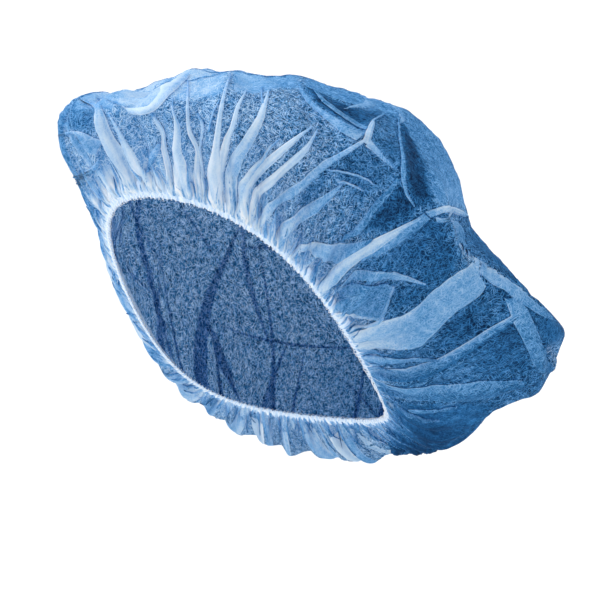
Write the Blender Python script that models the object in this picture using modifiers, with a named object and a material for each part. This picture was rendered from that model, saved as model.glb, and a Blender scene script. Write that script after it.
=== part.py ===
# Disposable hairnet: a gathered nonwoven cap on a narrow elastic band.
# Metres, +Z up, wearer facing -Y, wearer's left towards +X.
# The origin is the centre of the head opening, between the forehead, ear and nape points of the band.
from collections import namedtuple
from math import radians

import bpy
import numpy as np

# Head opening, measured along the lower edge of the elastic band
OPENING_WIDTH = 0.150       # ear to ear
OPENING_LENGTH = 0.196      # forehead to nape
FOREHEAD_RISE = 0.081       # band above the origin at the forehead
EAR_DROP = 0.010            # band below the origin beside the ears
NAPE_DROP = 0.065           # band below the origin at the nape

# Nonwoven crown
CLOTH_REACH = 0.110         # furthest that the puffed cloth stands out from the band
CROWN_HEIGHT = 0.1515       # top of the crown above the origin
CROWN_SET_BACK = 0.012      # top of the crown behind the origin
CLOTH_WALL = 0.0012         # cloth wall
FOLD_HEIGHT = 0.0060        # tallest crumple ridge
FOLD_WIDTH = 0.0200         # half width of the widest crumple ridge
PLEAT_DEPTH = 0.0032        # depth of the gathers above the band
PLEAT_REACH = 0.060         # how far the gathers run up the cloth

# Elastic band
BAND_WIDTH = 0.0090         # lower edge to sewn edge, along the cloth
BAND_WALL = 0.0022          # folded hem with the elastic inside
BAND_RIPPLE = 0.0004        # ripple of the gathered hem
BAND_STEP = 0.0045          # rows of faces across the band
SEAM_GAP = 0.0004           # clearance between band and crown
PANEL_GAP = 0.0005          # clearance between neighbouring panels of the crown

# Mesh steps
PLEATS = 46                 # gathers round the opening, two columns of faces to a gather
CROWN_ROWS = 22             # rows from band to top
SIDE_SHARE = 0.60           # share of the crown's rows that the side panels cover, below the top panel
TOP_HOLE = 0.965            # share of the way up where the rows end and close on the top point
SIDES = ("front", "left", "back", "right")

# Profile of the cloth every 30 degrees round the head, 0 at the forehead, 90 at the wearer's left ear.
# flare_out and widest_out are shares of CLOTH_REACH beyond the band, shoulder_in and upper_in are
# shares of the widest radius, and each _up is a share of the rise from band to crown top.
Section = namedtuple(
    "Section",
    "degrees flare_out flare_up widest_out widest_up shoulder_in shoulder_up upper_in upper_up",
)
SECTIONS = [
    Section(0, 0.15, 0.38, 0.26, 0.78, 0.72, 0.94, 0.43, 0.99),
    Section(30, 0.16, 0.33, 0.38, 0.77, 0.72, 0.94, 0.42, 0.99),
    Section(60, 0.21, 0.22, 0.55, 0.61, 0.82, 0.84, 0.51, 0.96),
    Section(90, 0.28, 0.07, 0.74, 0.40, 0.84, 0.68, 0.58, 0.90),
    Section(120, 0.33, -0.10, 1.00, 0.15, 0.72, 0.55, 0.54, 0.86),
    Section(150, 0.39, -0.11, 0.90, 0.16, 0.73, 0.50, 0.55, 0.84),
    Section(180, 0.46, -0.15, 0.84, 0.12, 0.82, 0.49, 0.60, 0.81),
    Section(210, 0.41, -0.12, 0.86, 0.21, 0.78, 0.57, 0.57, 0.85),
    Section(240, 0.33, 0.01, 0.75, 0.45, 0.77, 0.72, 0.52, 0.91),
    Section(270, 0.17, 0.17, 0.57, 0.71, 0.78, 0.89, 0.52, 0.97),
    Section(300, 0.14, 0.32, 0.34, 0.75, 0.84, 0.92, 0.53, 0.99),
    Section(330, 0.13, 0.32, 0.27, 0.72, 0.77, 0.92, 0.48, 0.99),
]
# Share of the way from band to top at which each level of a section lies
LEVELS = np.array([0.0, 0.13, 0.36, 0.56, 0.78, 1.0])

# Crumple ridges, each from one place on the cloth to another. A place is degrees round the head and
# the share of the way up. height and width are shares of FOLD_HEIGHT and FOLD_WIDTH, and a negative
# height is a valley.
Fold = namedtuple("Fold", "degrees_a up_a degrees_b up_b height width")
FOLDS = [
    # forehead
    Fold(-8, 0.08, -7, 0.30, 0.6, 0.6),
    Fold(0, 0.34, 10, 0.29, 0.5, 0.5),
    Fold(10, 0.29, 17, 0.42, 0.5, 0.5),
    Fold(14, 0.08, 16, 0.31, 0.5, 0.5),
    Fold(24, 0.11, 29, 0.44, 0.6, 0.5),
    # left temple
    Fold(30, 0.15, 40, 0.54, 0.7, 0.6),
    Fold(32, 0.08, 50, 0.37, 0.7, 0.6),
    Fold(40, 0.12, 62, 0.44, 0.9, 0.7),
    Fold(47, 0.08, 59, 0.28, 0.7, 0.6),
    # star of creases above the left ear
    Fold(62, 0.44, 50, 0.60, 1.0, 0.8),
    Fold(62, 0.44, 82, 0.69, 0.7, 0.6),
    Fold(62, 0.44, 71, 0.37, 0.8, 0.6),
    Fold(71, 0.37, 86, 0.68, 0.8, 0.7),
    Fold(71, 0.37, 64, 0.15, 0.7, 0.6),
    # left ear to the back corner
    Fold(67, 0.10, 78, 0.35, 1.0, 0.7),
    Fold(78, 0.35, 90, 0.42, 0.9, 0.7),
    Fold(72, 0.12, 86, 0.23, 0.6, 0.5),
    Fold(88, 0.08, 93, 0.32, 1.0, 1.0),
    Fold(93, 0.32, 117, 0.41, 0.8, 0.8),
    Fold(103, 0.10, 104, 0.33, 1.0, 0.8),
    Fold(104, 0.33, 119, 0.32, 0.8, 0.7),
    Fold(111, 0.08, 112, 0.24, 0.6, 0.6),
    Fold(84, 0.14, 84, 0.30, -0.7, 0.7),
    Fold(98, 0.14, 99, 0.30, -0.7, 0.7),
    # back
    Fold(128, 0.10, 136, 0.40, 0.8, 0.9),
    Fold(136, 0.40, 122, 0.62, 0.7, 0.8),
    Fold(136, 0.40, 158, 0.52, 0.8, 0.9),
    Fold(150, 0.10, 158, 0.30, 0.8, 0.8),
    Fold(176, 0.12, 172, 0.44, 0.9, 0.9),
    Fold(158, 0.52, 172, 0.44, 0.8, 0.8),
    Fold(172, 0.44, 198, 0.60, 0.8, 0.9),
    Fold(196, 0.10, 204, 0.38, 0.8, 0.8),
    # right side
    Fold(218, 0.10, 226, 0.42, 0.9, 0.9),
    Fold(226, 0.42, 248, 0.58, 0.7, 0.8),
    Fold(226, 0.42, 204, 0.38, 0.8, 0.8),
    Fold(242, 0.10, 250, 0.36, 0.8, 0.8),
    Fold(262, 0.10, 268, 0.44, 0.8, 0.7),
    Fold(283, 0.10, 288, 0.40, 0.7, 0.7),
    Fold(288, 0.40, 268, 0.44, 0.6, 0.7),
    Fold(305, 0.10, 308, 0.36, 0.6, 0.6),
    Fold(328, 0.10, 330, 0.34, 0.6, 0.6),
    # top
    Fold(40, 0.74, 150, 0.80, 0.5, 0.9),
    Fold(198, 0.60, 215, 0.84, 0.6, 0.9),
    Fold(300, 0.62, 330, 0.84, 0.5, 0.8),
]


def round_the_head(angle, column):
    # Smooth curve through a column of the table, read at each angle: a closed Catmull-Rom spline
    values = np.array([getattr(section, column) for section in SECTIONS])
    count = len(values)
    place = (angle / (2 * np.pi) % 1.0) * count
    low = np.floor(place).astype(int)
    part = place - low
    before, here, after, beyond = (values[(low + step) % count] for step in (-1, 0, 1, 2))
    return 0.5 * (
        2 * here
        + (after - before) * part
        + (2 * before - 5 * here + 4 * after - beyond) * part**2
        + (3 * here - before - 3 * after + beyond) * part**3
    )


def band_line(angle):
    # Lower edge of the band: an ellipse in plan, high at the forehead, low at the nape
    half_width = OPENING_WIDTH / 2
    half_length = OPENING_LENGTH / 2
    radius = half_width * half_length / np.hypot(half_length * np.sin(angle), half_width * np.cos(angle))
    mean = (FOREHEAD_RISE - NAPE_DROP - 2 * EAR_DROP) / 4
    tilt = (FOREHEAD_RISE + NAPE_DROP) / 2
    saddle = (FOREHEAD_RISE - NAPE_DROP + 2 * EAR_DROP) / 4
    return radius, mean + tilt * np.cos(angle) + saddle * np.cos(2 * angle)


def level_points(angle):
    # The six levels of the profile at each angle, band first and crown top last
    band_radius, band_height = band_line(angle)
    rise = CROWN_HEIGHT - band_height
    widest = band_radius + round_the_head(angle, "widest_out") * CLOTH_REACH
    radii = [
        band_radius,
        band_radius + round_the_head(angle, "flare_out") * CLOTH_REACH,
        widest,
        widest * round_the_head(angle, "shoulder_in"),
        widest * round_the_head(angle, "upper_in"),
    ]
    shares = [0.0] + [round_the_head(angle, name) for name in ("flare_up", "widest_up", "shoulder_up", "upper_up")]
    levels = [
        np.stack([radius * np.sin(angle), -radius * np.cos(angle), band_height + share * rise], axis=-1)
        for radius, share in zip(radii, shares)
    ]
    top = np.zeros_like(levels[0]) + np.array([0.0, CROWN_SET_BACK, CROWN_HEIGHT])
    return np.stack(levels + [top])


def smooth_cloth(angle, up):
    # Cubic curve through the levels of each profile, read at each share of the way up
    points = level_points(angle)
    steps = np.diff(LEVELS)
    slopes = np.empty_like(points)
    slopes[0] = (points[1] - points[0]) / steps[0]
    slopes[-1] = (points[-1] - points[-2]) / steps[-1]
    span = (LEVELS[2:] - LEVELS[:-2]).reshape((-1,) + (1,) * (points.ndim - 1))
    slopes[1:-1] = (points[2:] - points[:-2]) / span
    low = np.clip(np.searchsorted(LEVELS, up, side="right") - 1, 0, len(steps) - 1)
    part = ((up - LEVELS[low]) / steps[low])[..., None]
    step = steps[low][..., None]
    row = np.indices(low.shape)
    start, end = points[(low, *row)], points[(low + 1, *row)]
    start_slope, end_slope = slopes[(low, *row)], slopes[(low + 1, *row)]
    return (
        (2 * part**3 - 3 * part**2 + 1) * start
        + (part**3 - 2 * part**2 + part) * step * start_slope
        + (3 * part**2 - 2 * part**3) * end
        + (part**3 - part**2) * step * end_slope
    )


def profile_length(angle):
    # Length of cloth from band to crown top at each angle
    steps = 60
    walk = [smooth_cloth(angle, np.full(angle.shape, index / steps)) for index in range(steps + 1)]
    return np.linalg.norm(np.diff(np.stack(walk), axis=0), axis=-1).sum(axis=0)


def outward(angle, up):
    # Unit normal of the smooth cloth, from two short steps along it
    step = 1e-3
    around = smooth_cloth(angle + step, up) - smooth_cloth(angle - step, up)
    along = smooth_cloth(angle, np.minimum(up + step, 1.0)) - smooth_cloth(angle, np.maximum(up - step, 0.0))
    normal = np.cross(around, along)
    return normal / np.linalg.norm(normal, axis=-1, keepdims=True)


def fold_relief(angle, up, radius, length):
    # Height of the crumple ridges: each is a tent along a straight line on the cloth, and the tallest
    # ridge and the deepest valley hold at each place
    ridge = np.zeros_like(angle)
    valley = np.zeros_like(angle)
    for fold in FOLDS:
        turn = (angle - radians(fold.degrees_a) + np.pi) % (2 * np.pi) - np.pi
        across = turn * radius
        along = (up - fold.up_a) * length
        run_across = radians(fold.degrees_b - fold.degrees_a) * radius
        run_along = (fold.up_b - fold.up_a) * length
        share = (across * run_across + along * run_along) / (run_across**2 + run_along**2)
        share = np.clip(share, 0.0, 1.0)
        away = np.hypot(across - share * run_across, along - share * run_along)
        tent = np.clip(1 - away / (fold.width * FOLD_WIDTH), 0.0, 1.0) * fold.height * FOLD_HEIGHT
        ridge = np.maximum(ridge, tent)
        valley = np.minimum(valley, tent)
    return ridge + valley


def pleat_relief(angle, distance):
    # Gathers above the band: a ripple that swells just above the seam and dies out up the cloth,
    # deeper in some places than in others
    swell = 0.7 + 0.3 * np.cos(5 * angle + 0.8)
    rise = np.clip(0.25 + distance / (0.2 * PLEAT_REACH), 0.0, 1.0)
    fade = np.clip(1 - distance / PLEAT_REACH, 0.0, 1.0)
    return PLEAT_DEPTH * np.cos(PLEATS * angle) * swell * rise * fade


def grid_normals(points):
    # Unit normals of a grid that closes on itself round the head, from each point's neighbours
    around = np.roll(points, -1, axis=1) - np.roll(points, 1, axis=1)
    normal = np.cross(around, np.gradient(points, axis=0))
    return normal / np.linalg.norm(normal, axis=-1, keepdims=True)


def grid_faces(width, rows, closed):
    # Quads between neighbouring rows of a grid with width points to a row, which may close on itself
    faces = []
    for row in range(rows):
        for column in range(width if closed else width - 1):
            beside = (column + 1) % width
            faces.append((row * width + column, row * width + beside,
                          (row + 1) * width + beside, (row + 1) * width + column))
    return faces


def drawn_in(points, edge, inner):
    # Moves one edge line of a grid half the panel gap towards the line beside it
    step = points[inner] - points[edge]
    points[edge] += step / np.linalg.norm(step, axis=-1, keepdims=True) * PANEL_GAP / 2


def sheet_object(name, points, faces, wall, material, collection):
    # An open sheet of cloth given its wall by Solidify, half to each side
    mesh = bpy.data.meshes.new(name)
    mesh.from_pydata([tuple(point) for point in points], [], faces)
    mesh.validate()
    mesh.shade_smooth()
    mesh.materials.append(material)
    sheet = bpy.data.objects.new(name, mesh)
    collection.objects.link(sheet)
    solidify = sheet.modifiers.new("wall", "SOLIDIFY")
    solidify.thickness = wall
    solidify.offset = 0.0
    return sheet


def walled_object(name, points, normals, faces, rim, wall, material, collection):
    # A panel of cloth as a closed body: the sheet moved half the wall out, the same sheet half the wall
    # in and turned over, and a strip between them along the rim, which runs the way the faces do
    outside = points + normals * wall / 2
    inside = points - normals * wall / 2
    count = len(points)
    shell = list(faces)
    shell += [tuple(count + corner for corner in reversed(face)) for face in faces]
    shell += [(after, here, count + here, count + after) for here, after in zip(rim, rim[1:] + rim[:1])]
    mesh = bpy.data.meshes.new(name)
    mesh.from_pydata([tuple(point) for point in np.concatenate([outside, inside])], [], shell)
    mesh.validate()
    mesh.shade_smooth()
    mesh.materials.append(material)
    panel = bpy.data.objects.new(name, mesh)
    collection.objects.link(panel)
    return panel


def plain_material(name, colour, roughness):
    material = bpy.data.materials.new(name)
    material.use_nodes = True
    shader = material.node_tree.nodes["Principled BSDF"]
    shader.inputs["Base Color"].default_value = (*colour, 1.0)
    shader.inputs["Roughness"].default_value = roughness
    shader.inputs["Metallic"].default_value = 0.0
    return material


def crown_grid():
    # Crumpled cloth from just above the band to where the rows close on the top point
    columns = 2 * PLEATS
    angle, row = np.meshgrid(np.arange(columns) * 2 * np.pi / columns, np.arange(CROWN_ROWS + 1))
    length = profile_length(angle)
    lowest = (BAND_WIDTH + SEAM_GAP) / length
    up = lowest + (TOP_HOLE - lowest) * row / CROWN_ROWS
    smooth = smooth_cloth(angle, up)
    radius = np.hypot(smooth[..., 0], smooth[..., 1])
    seam = np.clip((up - lowest) * length / FOLD_WIDTH, 0.0, 1.0)
    relief = fold_relief(angle, up, radius, length) * seam
    relief += pleat_relief(angle, (up - lowest) * length)
    return smooth + outward(angle, up) * relief[..., None]


def make_side_panel(side, grid, normals, material, collection):
    # A quarter of the way round the cloth, centred on the forehead, an ear or the nape
    columns = grid.shape[1]
    number = SIDES.index(side)
    first = round((number - 0.5) * columns / len(SIDES))
    last = round((number + 0.5) * columns / len(SIDES))
    rows = round(SIDE_SHARE * CROWN_ROWS)
    chosen = np.arange(first, last + 1) % columns
    points = grid[:rows + 1, chosen].copy()
    drawn_in(points, np.s_[:, 0], np.s_[:, 1])
    drawn_in(points, np.s_[:, -1], np.s_[:, -2])
    drawn_in(points, np.s_[-1], np.s_[-2])
    width = len(chosen)
    index = np.arange((rows + 1) * width).reshape(rows + 1, width)
    rim = [*index[0, :-1], *index[:-1, -1], *index[-1, :0:-1], *index[:0:-1, 0]]
    rim = [int(corner) for corner in rim]
    return walled_object(
        "crown_" + side, points.reshape(-1, 3), normals[:rows + 1, chosen].reshape(-1, 3),
        grid_faces(width, rows, False), rim, CLOTH_WALL, material, collection,
    )


def make_top_panel(grid, normals, material, collection):
    # The cloth over the top of the head, closed by a fan of faces round the top point
    columns = grid.shape[1]
    start = round(SIDE_SHARE * CROWN_ROWS)
    points = grid[start:].copy()
    drawn_in(points, np.s_[0], np.s_[1])
    rows = CROWN_ROWS - start
    faces = grid_faces(columns, rows, True)
    last = rows * columns
    top = (rows + 1) * columns
    faces += [(last + column, last + (column + 1) % columns, top) for column in range(columns)]
    peak = np.array([[0.0, CROWN_SET_BACK, CROWN_HEIGHT]])
    upright = np.array([[0.0, 0.0, 1.0]])
    return walled_object(
        "crown_top", np.concatenate([points.reshape(-1, 3), peak]),
        np.concatenate([normals[start:].reshape(-1, 3), upright]),
        faces, list(range(columns)), CLOTH_WALL, material, collection,
    )


def make_crown(collection):
    # Nonwoven cloth in four side panels and a top panel, each only gently curved
    grid = crown_grid()
    normals = grid_normals(grid)
    material = plain_material("spunbond nonwoven", (0.13, 0.33, 0.60), 0.7)
    for side in SIDES:
        make_side_panel(side, grid, normals, material, collection)
    make_top_panel(grid, normals, material, collection)


def make_elastic_band(collection):
    # Gathered hem with the elastic inside, along the lower edge of the cloth
    columns = 2 * PLEATS
    rows = max(1, round(BAND_WIDTH / BAND_STEP))
    angle, row = np.meshgrid(np.arange(columns) * 2 * np.pi / columns, np.arange(rows + 1))
    up = BAND_WIDTH / profile_length(angle) * row / rows
    ripple = BAND_RIPPLE * np.cos(PLEATS * angle)
    points = (smooth_cloth(angle, up) + outward(angle, up) * ripple[..., None]).reshape(-1, 3)
    material = plain_material("elastic hem", (0.68, 0.80, 0.92), 0.8)
    return sheet_object("elastic_band", points, grid_faces(columns, rows, True), BAND_WALL, material, collection)


def clear_scene():
    for item in list(bpy.data.objects):
        bpy.data.objects.remove(item, do_unlink=True)


def main():
    clear_scene()
    collection = bpy.data.collections.new("disposable_hairnet")
    bpy.context.scene.collection.children.link(collection)
    make_crown(collection)
    make_elastic_band(collection)


main()
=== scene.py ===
# Disposable hairnet, dressed: a puffed cap of blue nonwoven gathered onto a pale elastic hem
import bpy
import numpy as np
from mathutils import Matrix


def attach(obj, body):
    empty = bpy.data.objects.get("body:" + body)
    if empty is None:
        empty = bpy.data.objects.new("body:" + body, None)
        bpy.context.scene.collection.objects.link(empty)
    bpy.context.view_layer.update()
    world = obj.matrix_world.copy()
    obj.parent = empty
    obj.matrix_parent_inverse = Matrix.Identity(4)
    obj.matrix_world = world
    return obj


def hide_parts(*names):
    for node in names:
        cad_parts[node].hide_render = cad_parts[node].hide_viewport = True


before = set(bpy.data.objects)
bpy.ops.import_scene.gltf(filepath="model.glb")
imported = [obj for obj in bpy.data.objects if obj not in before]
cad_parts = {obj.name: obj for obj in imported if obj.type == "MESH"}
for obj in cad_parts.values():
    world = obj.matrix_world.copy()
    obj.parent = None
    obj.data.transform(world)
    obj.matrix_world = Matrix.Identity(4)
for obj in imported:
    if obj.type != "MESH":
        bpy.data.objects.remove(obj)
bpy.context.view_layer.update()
print("frame loaded")

# Form of the cap, in metres: the same sizes and sections as the solids
form = {
    "openingWidth": 0.150,      # side to side, along the lower edge of the hem
    "openingLength": 0.196,     # front to back
    "frontRise": 0.081,         # hem above the opening's centre
    "sideDrop": 0.010,          # hem below it
    "backDrop": 0.065,
    "clothReach": 0.110,        # furthest that the puffed cloth stands out from the hem
    "crownHeight": 0.1515,
    "crownSetBack": 0.012,
    "hemWidth": 0.0090,
    "tuckedUnder": 0.0062,      # how far the crown's edge runs under the hem
    # share of the way up of the hem, the flare, the widest place, the shoulder, the upper place and the top
    "levels": np.array([0.0, 0.13, 0.36, 0.56, 0.78, 1.0]),
    "lengthSteps": 61,          # places along a profile that its length is summed over
}
# One column for each share, one row every 30 degrees from the front round past the left side. Out counts
# from the hem in shares of clothReach, Up from the hem to the crown's height, and In in shares of the widest
# radius. The last two are how pale the single cloth is, partly its own tone and partly painted light and
# shade, paler at the front and darker round the side, and how closely it is gathered at the hem
sections = {
    "flareOut": [0.15, 0.16, 0.21, 0.28, 0.33, 0.39, 0.46, 0.41, 0.33, 0.17, 0.14, 0.13],
    "flareUp": [0.38, 0.33, 0.22, 0.07, -0.10, -0.11, -0.15, -0.12, 0.01, 0.17, 0.32, 0.32],
    "widestOut": [0.26, 0.38, 0.55, 0.74, 1.00, 0.90, 0.84, 0.86, 0.75, 0.57, 0.34, 0.27],
    "widestUp": [0.78, 0.77, 0.61, 0.40, 0.15, 0.16, 0.12, 0.21, 0.45, 0.71, 0.75, 0.72],
    "shoulderIn": [0.72, 0.72, 0.82, 0.84, 0.72, 0.73, 0.82, 0.78, 0.77, 0.78, 0.84, 0.77],
    "shoulderUp": [0.94, 0.94, 0.84, 0.68, 0.55, 0.50, 0.49, 0.57, 0.72, 0.89, 0.92, 0.92],
    "upperIn": [0.43, 0.42, 0.51, 0.58, 0.54, 0.55, 0.60, 0.57, 0.52, 0.52, 0.53, 0.48],
    "upperUp": [0.99, 0.99, 0.96, 0.90, 0.86, 0.84, 0.81, 0.85, 0.91, 0.97, 0.99, 0.99],
    # partly painted light and shade: paler towards the front, darkest part way round the side
    "pale": [0.47, 0.43, 0.31, 0.23, 0.22, 0.25, 0.32, 0.38, 0.40, 0.40, 0.40, 0.45],
    "crowded": [1.0, 0.93, 0.70, 0.55, 0.50, 0.52, 0.50, 0.55, 0.65, 0.75, 0.90, 1.0],
}


def roundTheCap(angle, column):
    # closed Catmull-Rom spline through a column of the sections, read at each angle
    values = np.array(sections[column])
    place = (angle / (2 * np.pi) % 1.0) * len(values)
    low = np.floor(place).astype(int)
    t = place - low
    a, b, c, d = (values[(low + step) % len(values)] for step in (-1, 0, 1, 2))
    return 0.5 * (2 * b + (c - a) * t + (2 * a - 5 * b + 4 * c - d) * t**2 + (3 * b - a - 3 * c + d) * t**3)


def hemLine(angle):
    # radius of an ellipse in plan, and a height that is a mean plus one wave (tilt) plus two (saddle)
    halfWidth, halfLength = form["openingWidth"] / 2, form["openingLength"] / 2
    radius = halfWidth * halfLength / np.hypot(halfLength * np.sin(angle), halfWidth * np.cos(angle))
    front, side, back = form["frontRise"], form["sideDrop"], form["backDrop"]
    height = (front - back - 2 * side) / 4 + (front + back) / 2 * np.cos(angle)
    return radius, height + (front - back + 2 * side) / 4 * np.cos(2 * angle)


def smoothCloth(angle, up):
    # point on the smooth cap: cubic Hermite curve through the six levels of the profile at this angle
    radius, height = hemLine(angle)
    rise = form["crownHeight"] - height
    widest = radius + roundTheCap(angle, "widestOut") * form["clothReach"]
    radii = [radius, radius + roundTheCap(angle, "flareOut") * form["clothReach"], widest,
             widest * roundTheCap(angle, "shoulderIn"), widest * roundTheCap(angle, "upperIn")]
    shares = [0.0] + [roundTheCap(angle, name) for name in ("flareUp", "widestUp", "shoulderUp", "upperUp")]
    rings = [np.stack([r * np.sin(angle), -r * np.cos(angle), height + share * rise], axis=-1)
             for r, share in zip(radii, shares)]
    top = np.zeros_like(rings[0]) + np.array([0.0, form["crownSetBack"], form["crownHeight"]])
    points = np.stack(rings + [top])
    levels = form["levels"]
    steps = np.diff(levels)
    slopes = np.empty_like(points)
    slopes[0] = (points[1] - points[0]) / steps[0]
    slopes[-1] = (points[-1] - points[-2]) / steps[-1]
    twoSteps = (levels[2:] - levels[:-2]).reshape((-1,) + (1,) * (angle.ndim + 1))
    slopes[1:-1] = (points[2:] - points[:-2]) / twoSteps
    low = np.clip(np.searchsorted(levels, up, side="right") - 1, 0, len(steps) - 1)
    t = ((up - levels[low]) / steps[low])[..., None]
    h = steps[low][..., None]
    where = tuple(np.indices(low.shape))
    start, end = points[(low,) + where], points[(low + 1,) + where]
    startSlope, endSlope = slopes[(low,) + where], slopes[(low + 1,) + where]
    return ((2 * t**3 - 3 * t**2 + 1) * start + (t**3 - 2 * t**2 + t) * h * startSlope
            + (3 * t**2 - 2 * t**3) * end + (t**3 - t**2) * h * endSlope)


def profileLength(angle):
    # length of cloth from hem to top at each angle, summed over short steps
    shares = np.linspace(0, 1, form["lengthSteps"])
    walk = np.stack([smoothCloth(angle, np.full(angle.shape, share)) for share in shares])
    return np.linalg.norm(np.diff(walk, axis=0), axis=-1).sum(axis=0)


def unit(vectors):
    # each vector divided by its length
    return vectors / np.maximum(np.linalg.norm(vectors, axis=-1, keepdims=True), 1e-12)


def acrossNeighbours(points, axis=1):
    # from the neighbour before to the neighbour after, on rows that close on themselves
    return np.roll(points, -1, axis=axis) - np.roll(points, 1, axis=axis)


def wavy(start, angle, waves, phases):
    # start plus a sine of the angle for each wave, which is given as its size and its count round the cap
    for (size, count), phase in zip(waves, phases):
        start = start + size * np.sin(count * angle + phase)
    return start


def gridNormals(points):
    # unit normals of a grid of rows that close on themselves: along the row crossed with up the rows
    return unit(np.cross(acrossNeighbours(points), np.gradient(points, axis=0)))


# Camera: the photograph's viewing angle, with the opening's centre at its place in the picture
camera = {
    "azimuth": 34.0, "elevation": 4.0,      # degrees
    "distance": 1.5,
    "pixelsPerMetre": 1650.0,               # at the opening's centre
    "openingAt": (250.5, 327.0),            # pixels in the 600 by 600 picture
    "picture": 600.0,
    "sensor": 0.036,
    "clipEnd": 50.0,
}


def cameraAxes():
    # right, upward and backward unit vectors of the camera, and where it stands
    az, el = np.radians(camera["azimuth"]), np.radians(camera["elevation"])
    right = np.array([np.cos(az), np.sin(az), 0.0])
    back = np.array([np.sin(az) * np.cos(el), -np.cos(az) * np.cos(el), np.sin(el)])
    upward = np.cross(back, right)
    middle = camera["picture"] / 2
    aside = (middle - camera["openingAt"][0]) / camera["pixelsPerMetre"]
    above = (camera["openingAt"][1] - middle) / camera["pixelsPerMetre"]
    return right, upward, back, right * aside + upward * above + back * camera["distance"]


def makeCamera():
    eyePlace = cameraAxes()[3]
    data = bpy.data.cameras.new("camera")
    data.sensor_width = camera["sensor"] * 1000
    data.lens = data.sensor_width * camera["pixelsPerMetre"] * camera["distance"] / camera["picture"]
    data.clip_end = camera["clipEnd"]
    eye = bpy.data.objects.new("camera", data)
    eye.location = eyePlace
    eye.rotation_euler = (np.pi / 2 - np.radians(camera["elevation"]), 0.0, np.radians(camera["azimuth"]))
    bpy.context.scene.collection.objects.link(eye)
    bpy.context.scene.camera = eye


makeCamera()
print("camera placed")

# Crown cloth, in metres where a value is a size
crown = {
    "columns": 600, "rows": 144,
    "evenRows": 0.55, "crowdedRows": 0.45,      # the second share brings the rows closer near the hem
    "topHole": 0.985,           # share of the way up where the rows close on the top point
    "discDiameter": 0.610,      # 24 inch disc of nonwoven
    "coarsest": 4,              # first relaxing grid is this many times coarser
    "turns": {4: 260, 2: 160, 1: 90},       # relaxing turns on each grid
    "pull": 0.5, "pullCross": 0.25,         # how much of a thread's error a turn takes away
    "flatAround": 0.97, "flatAlong": 0.98,  # a thread may shorten to this share over two of its steps
    "stiffness": 0.10,
    "hold": 0.010,              # how strongly the cloth is held to its form at each turn
    "spare": 1.035, "spareUp": 1.030,       # length of cloth over that of the smooth cap
    "spareAtHem": 0.50, "spareOver": 0.030,     # more of it round the hem, and how far up that fades
    "ridgeHalfWidth": 0.0065,   # narrowest crumple ridge
    "seenRidge": 1.2, "unseenRidge": 0.6,   # a ridge's half width over half its fold's, or over its width
    "ridgeEvery": 4,            # every fourth sample of a ridge line raises the cloth
    "ridgesOver": 0.02,         # cloth above the seam over which the ridges reach their height
    # the cloth starts from waves that wander: size and count round the cap of what moves them sideways
    "warp": [(0.02, 3), (0.012, 7)],
    # each wave: count, how much and how often it wanders, metres up that slant it by one radian, height,
    # place up the cloth where it is highest, its reach there, where it starts and the length it grows over
    "waves": [(92, 1.3, 11, np.inf, 0.0016, 0.0, 0.022, 0.002, 0.007),
              (46, 1.1, 5, np.inf, 0.0022, 0.03, 0.03, 0.0, 0.01),
              (23, 0.9, 4, 0.05, 0.0022, 0.09, 0.05, -1.0, 1.0)],
    "coarseUneven": 0.0012, "fineUneven": 0.0002, "unevenOver": 0.01,
    "phases": 24,
    "seed": 7,
    # the lowest cloth starts in the hem and swells over its upper half
    "freeFrom": 0.001, "freeOver": 0.007, "swell": 0.0021, "swellOver": 0.0028, "seamSunk": 0.0003,
    "evened": 8,                # evening turns of the cloth before the creases are found on it again
    # tone: paler at sharp bends, on steep gathers and where the cloth crowds into the hem
    "bendGain": 1.2, "bendFrom": 0.12, "bendPaler": 0.22, "steepPaler": 0.25,
    "hemPaler": 0.95, "hemPaleOver": 0.011, "hemPaleFall": 1.4,
    "crowdUneven": 0.12, "crowdWaves": (61, 23),
    "crowdOver": 0.014,         # fine gathers in the material fade over this length above the seam
    "hemRadius": 0.086,         # mean radius of the hem, that their spacing is measured on
}
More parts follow.
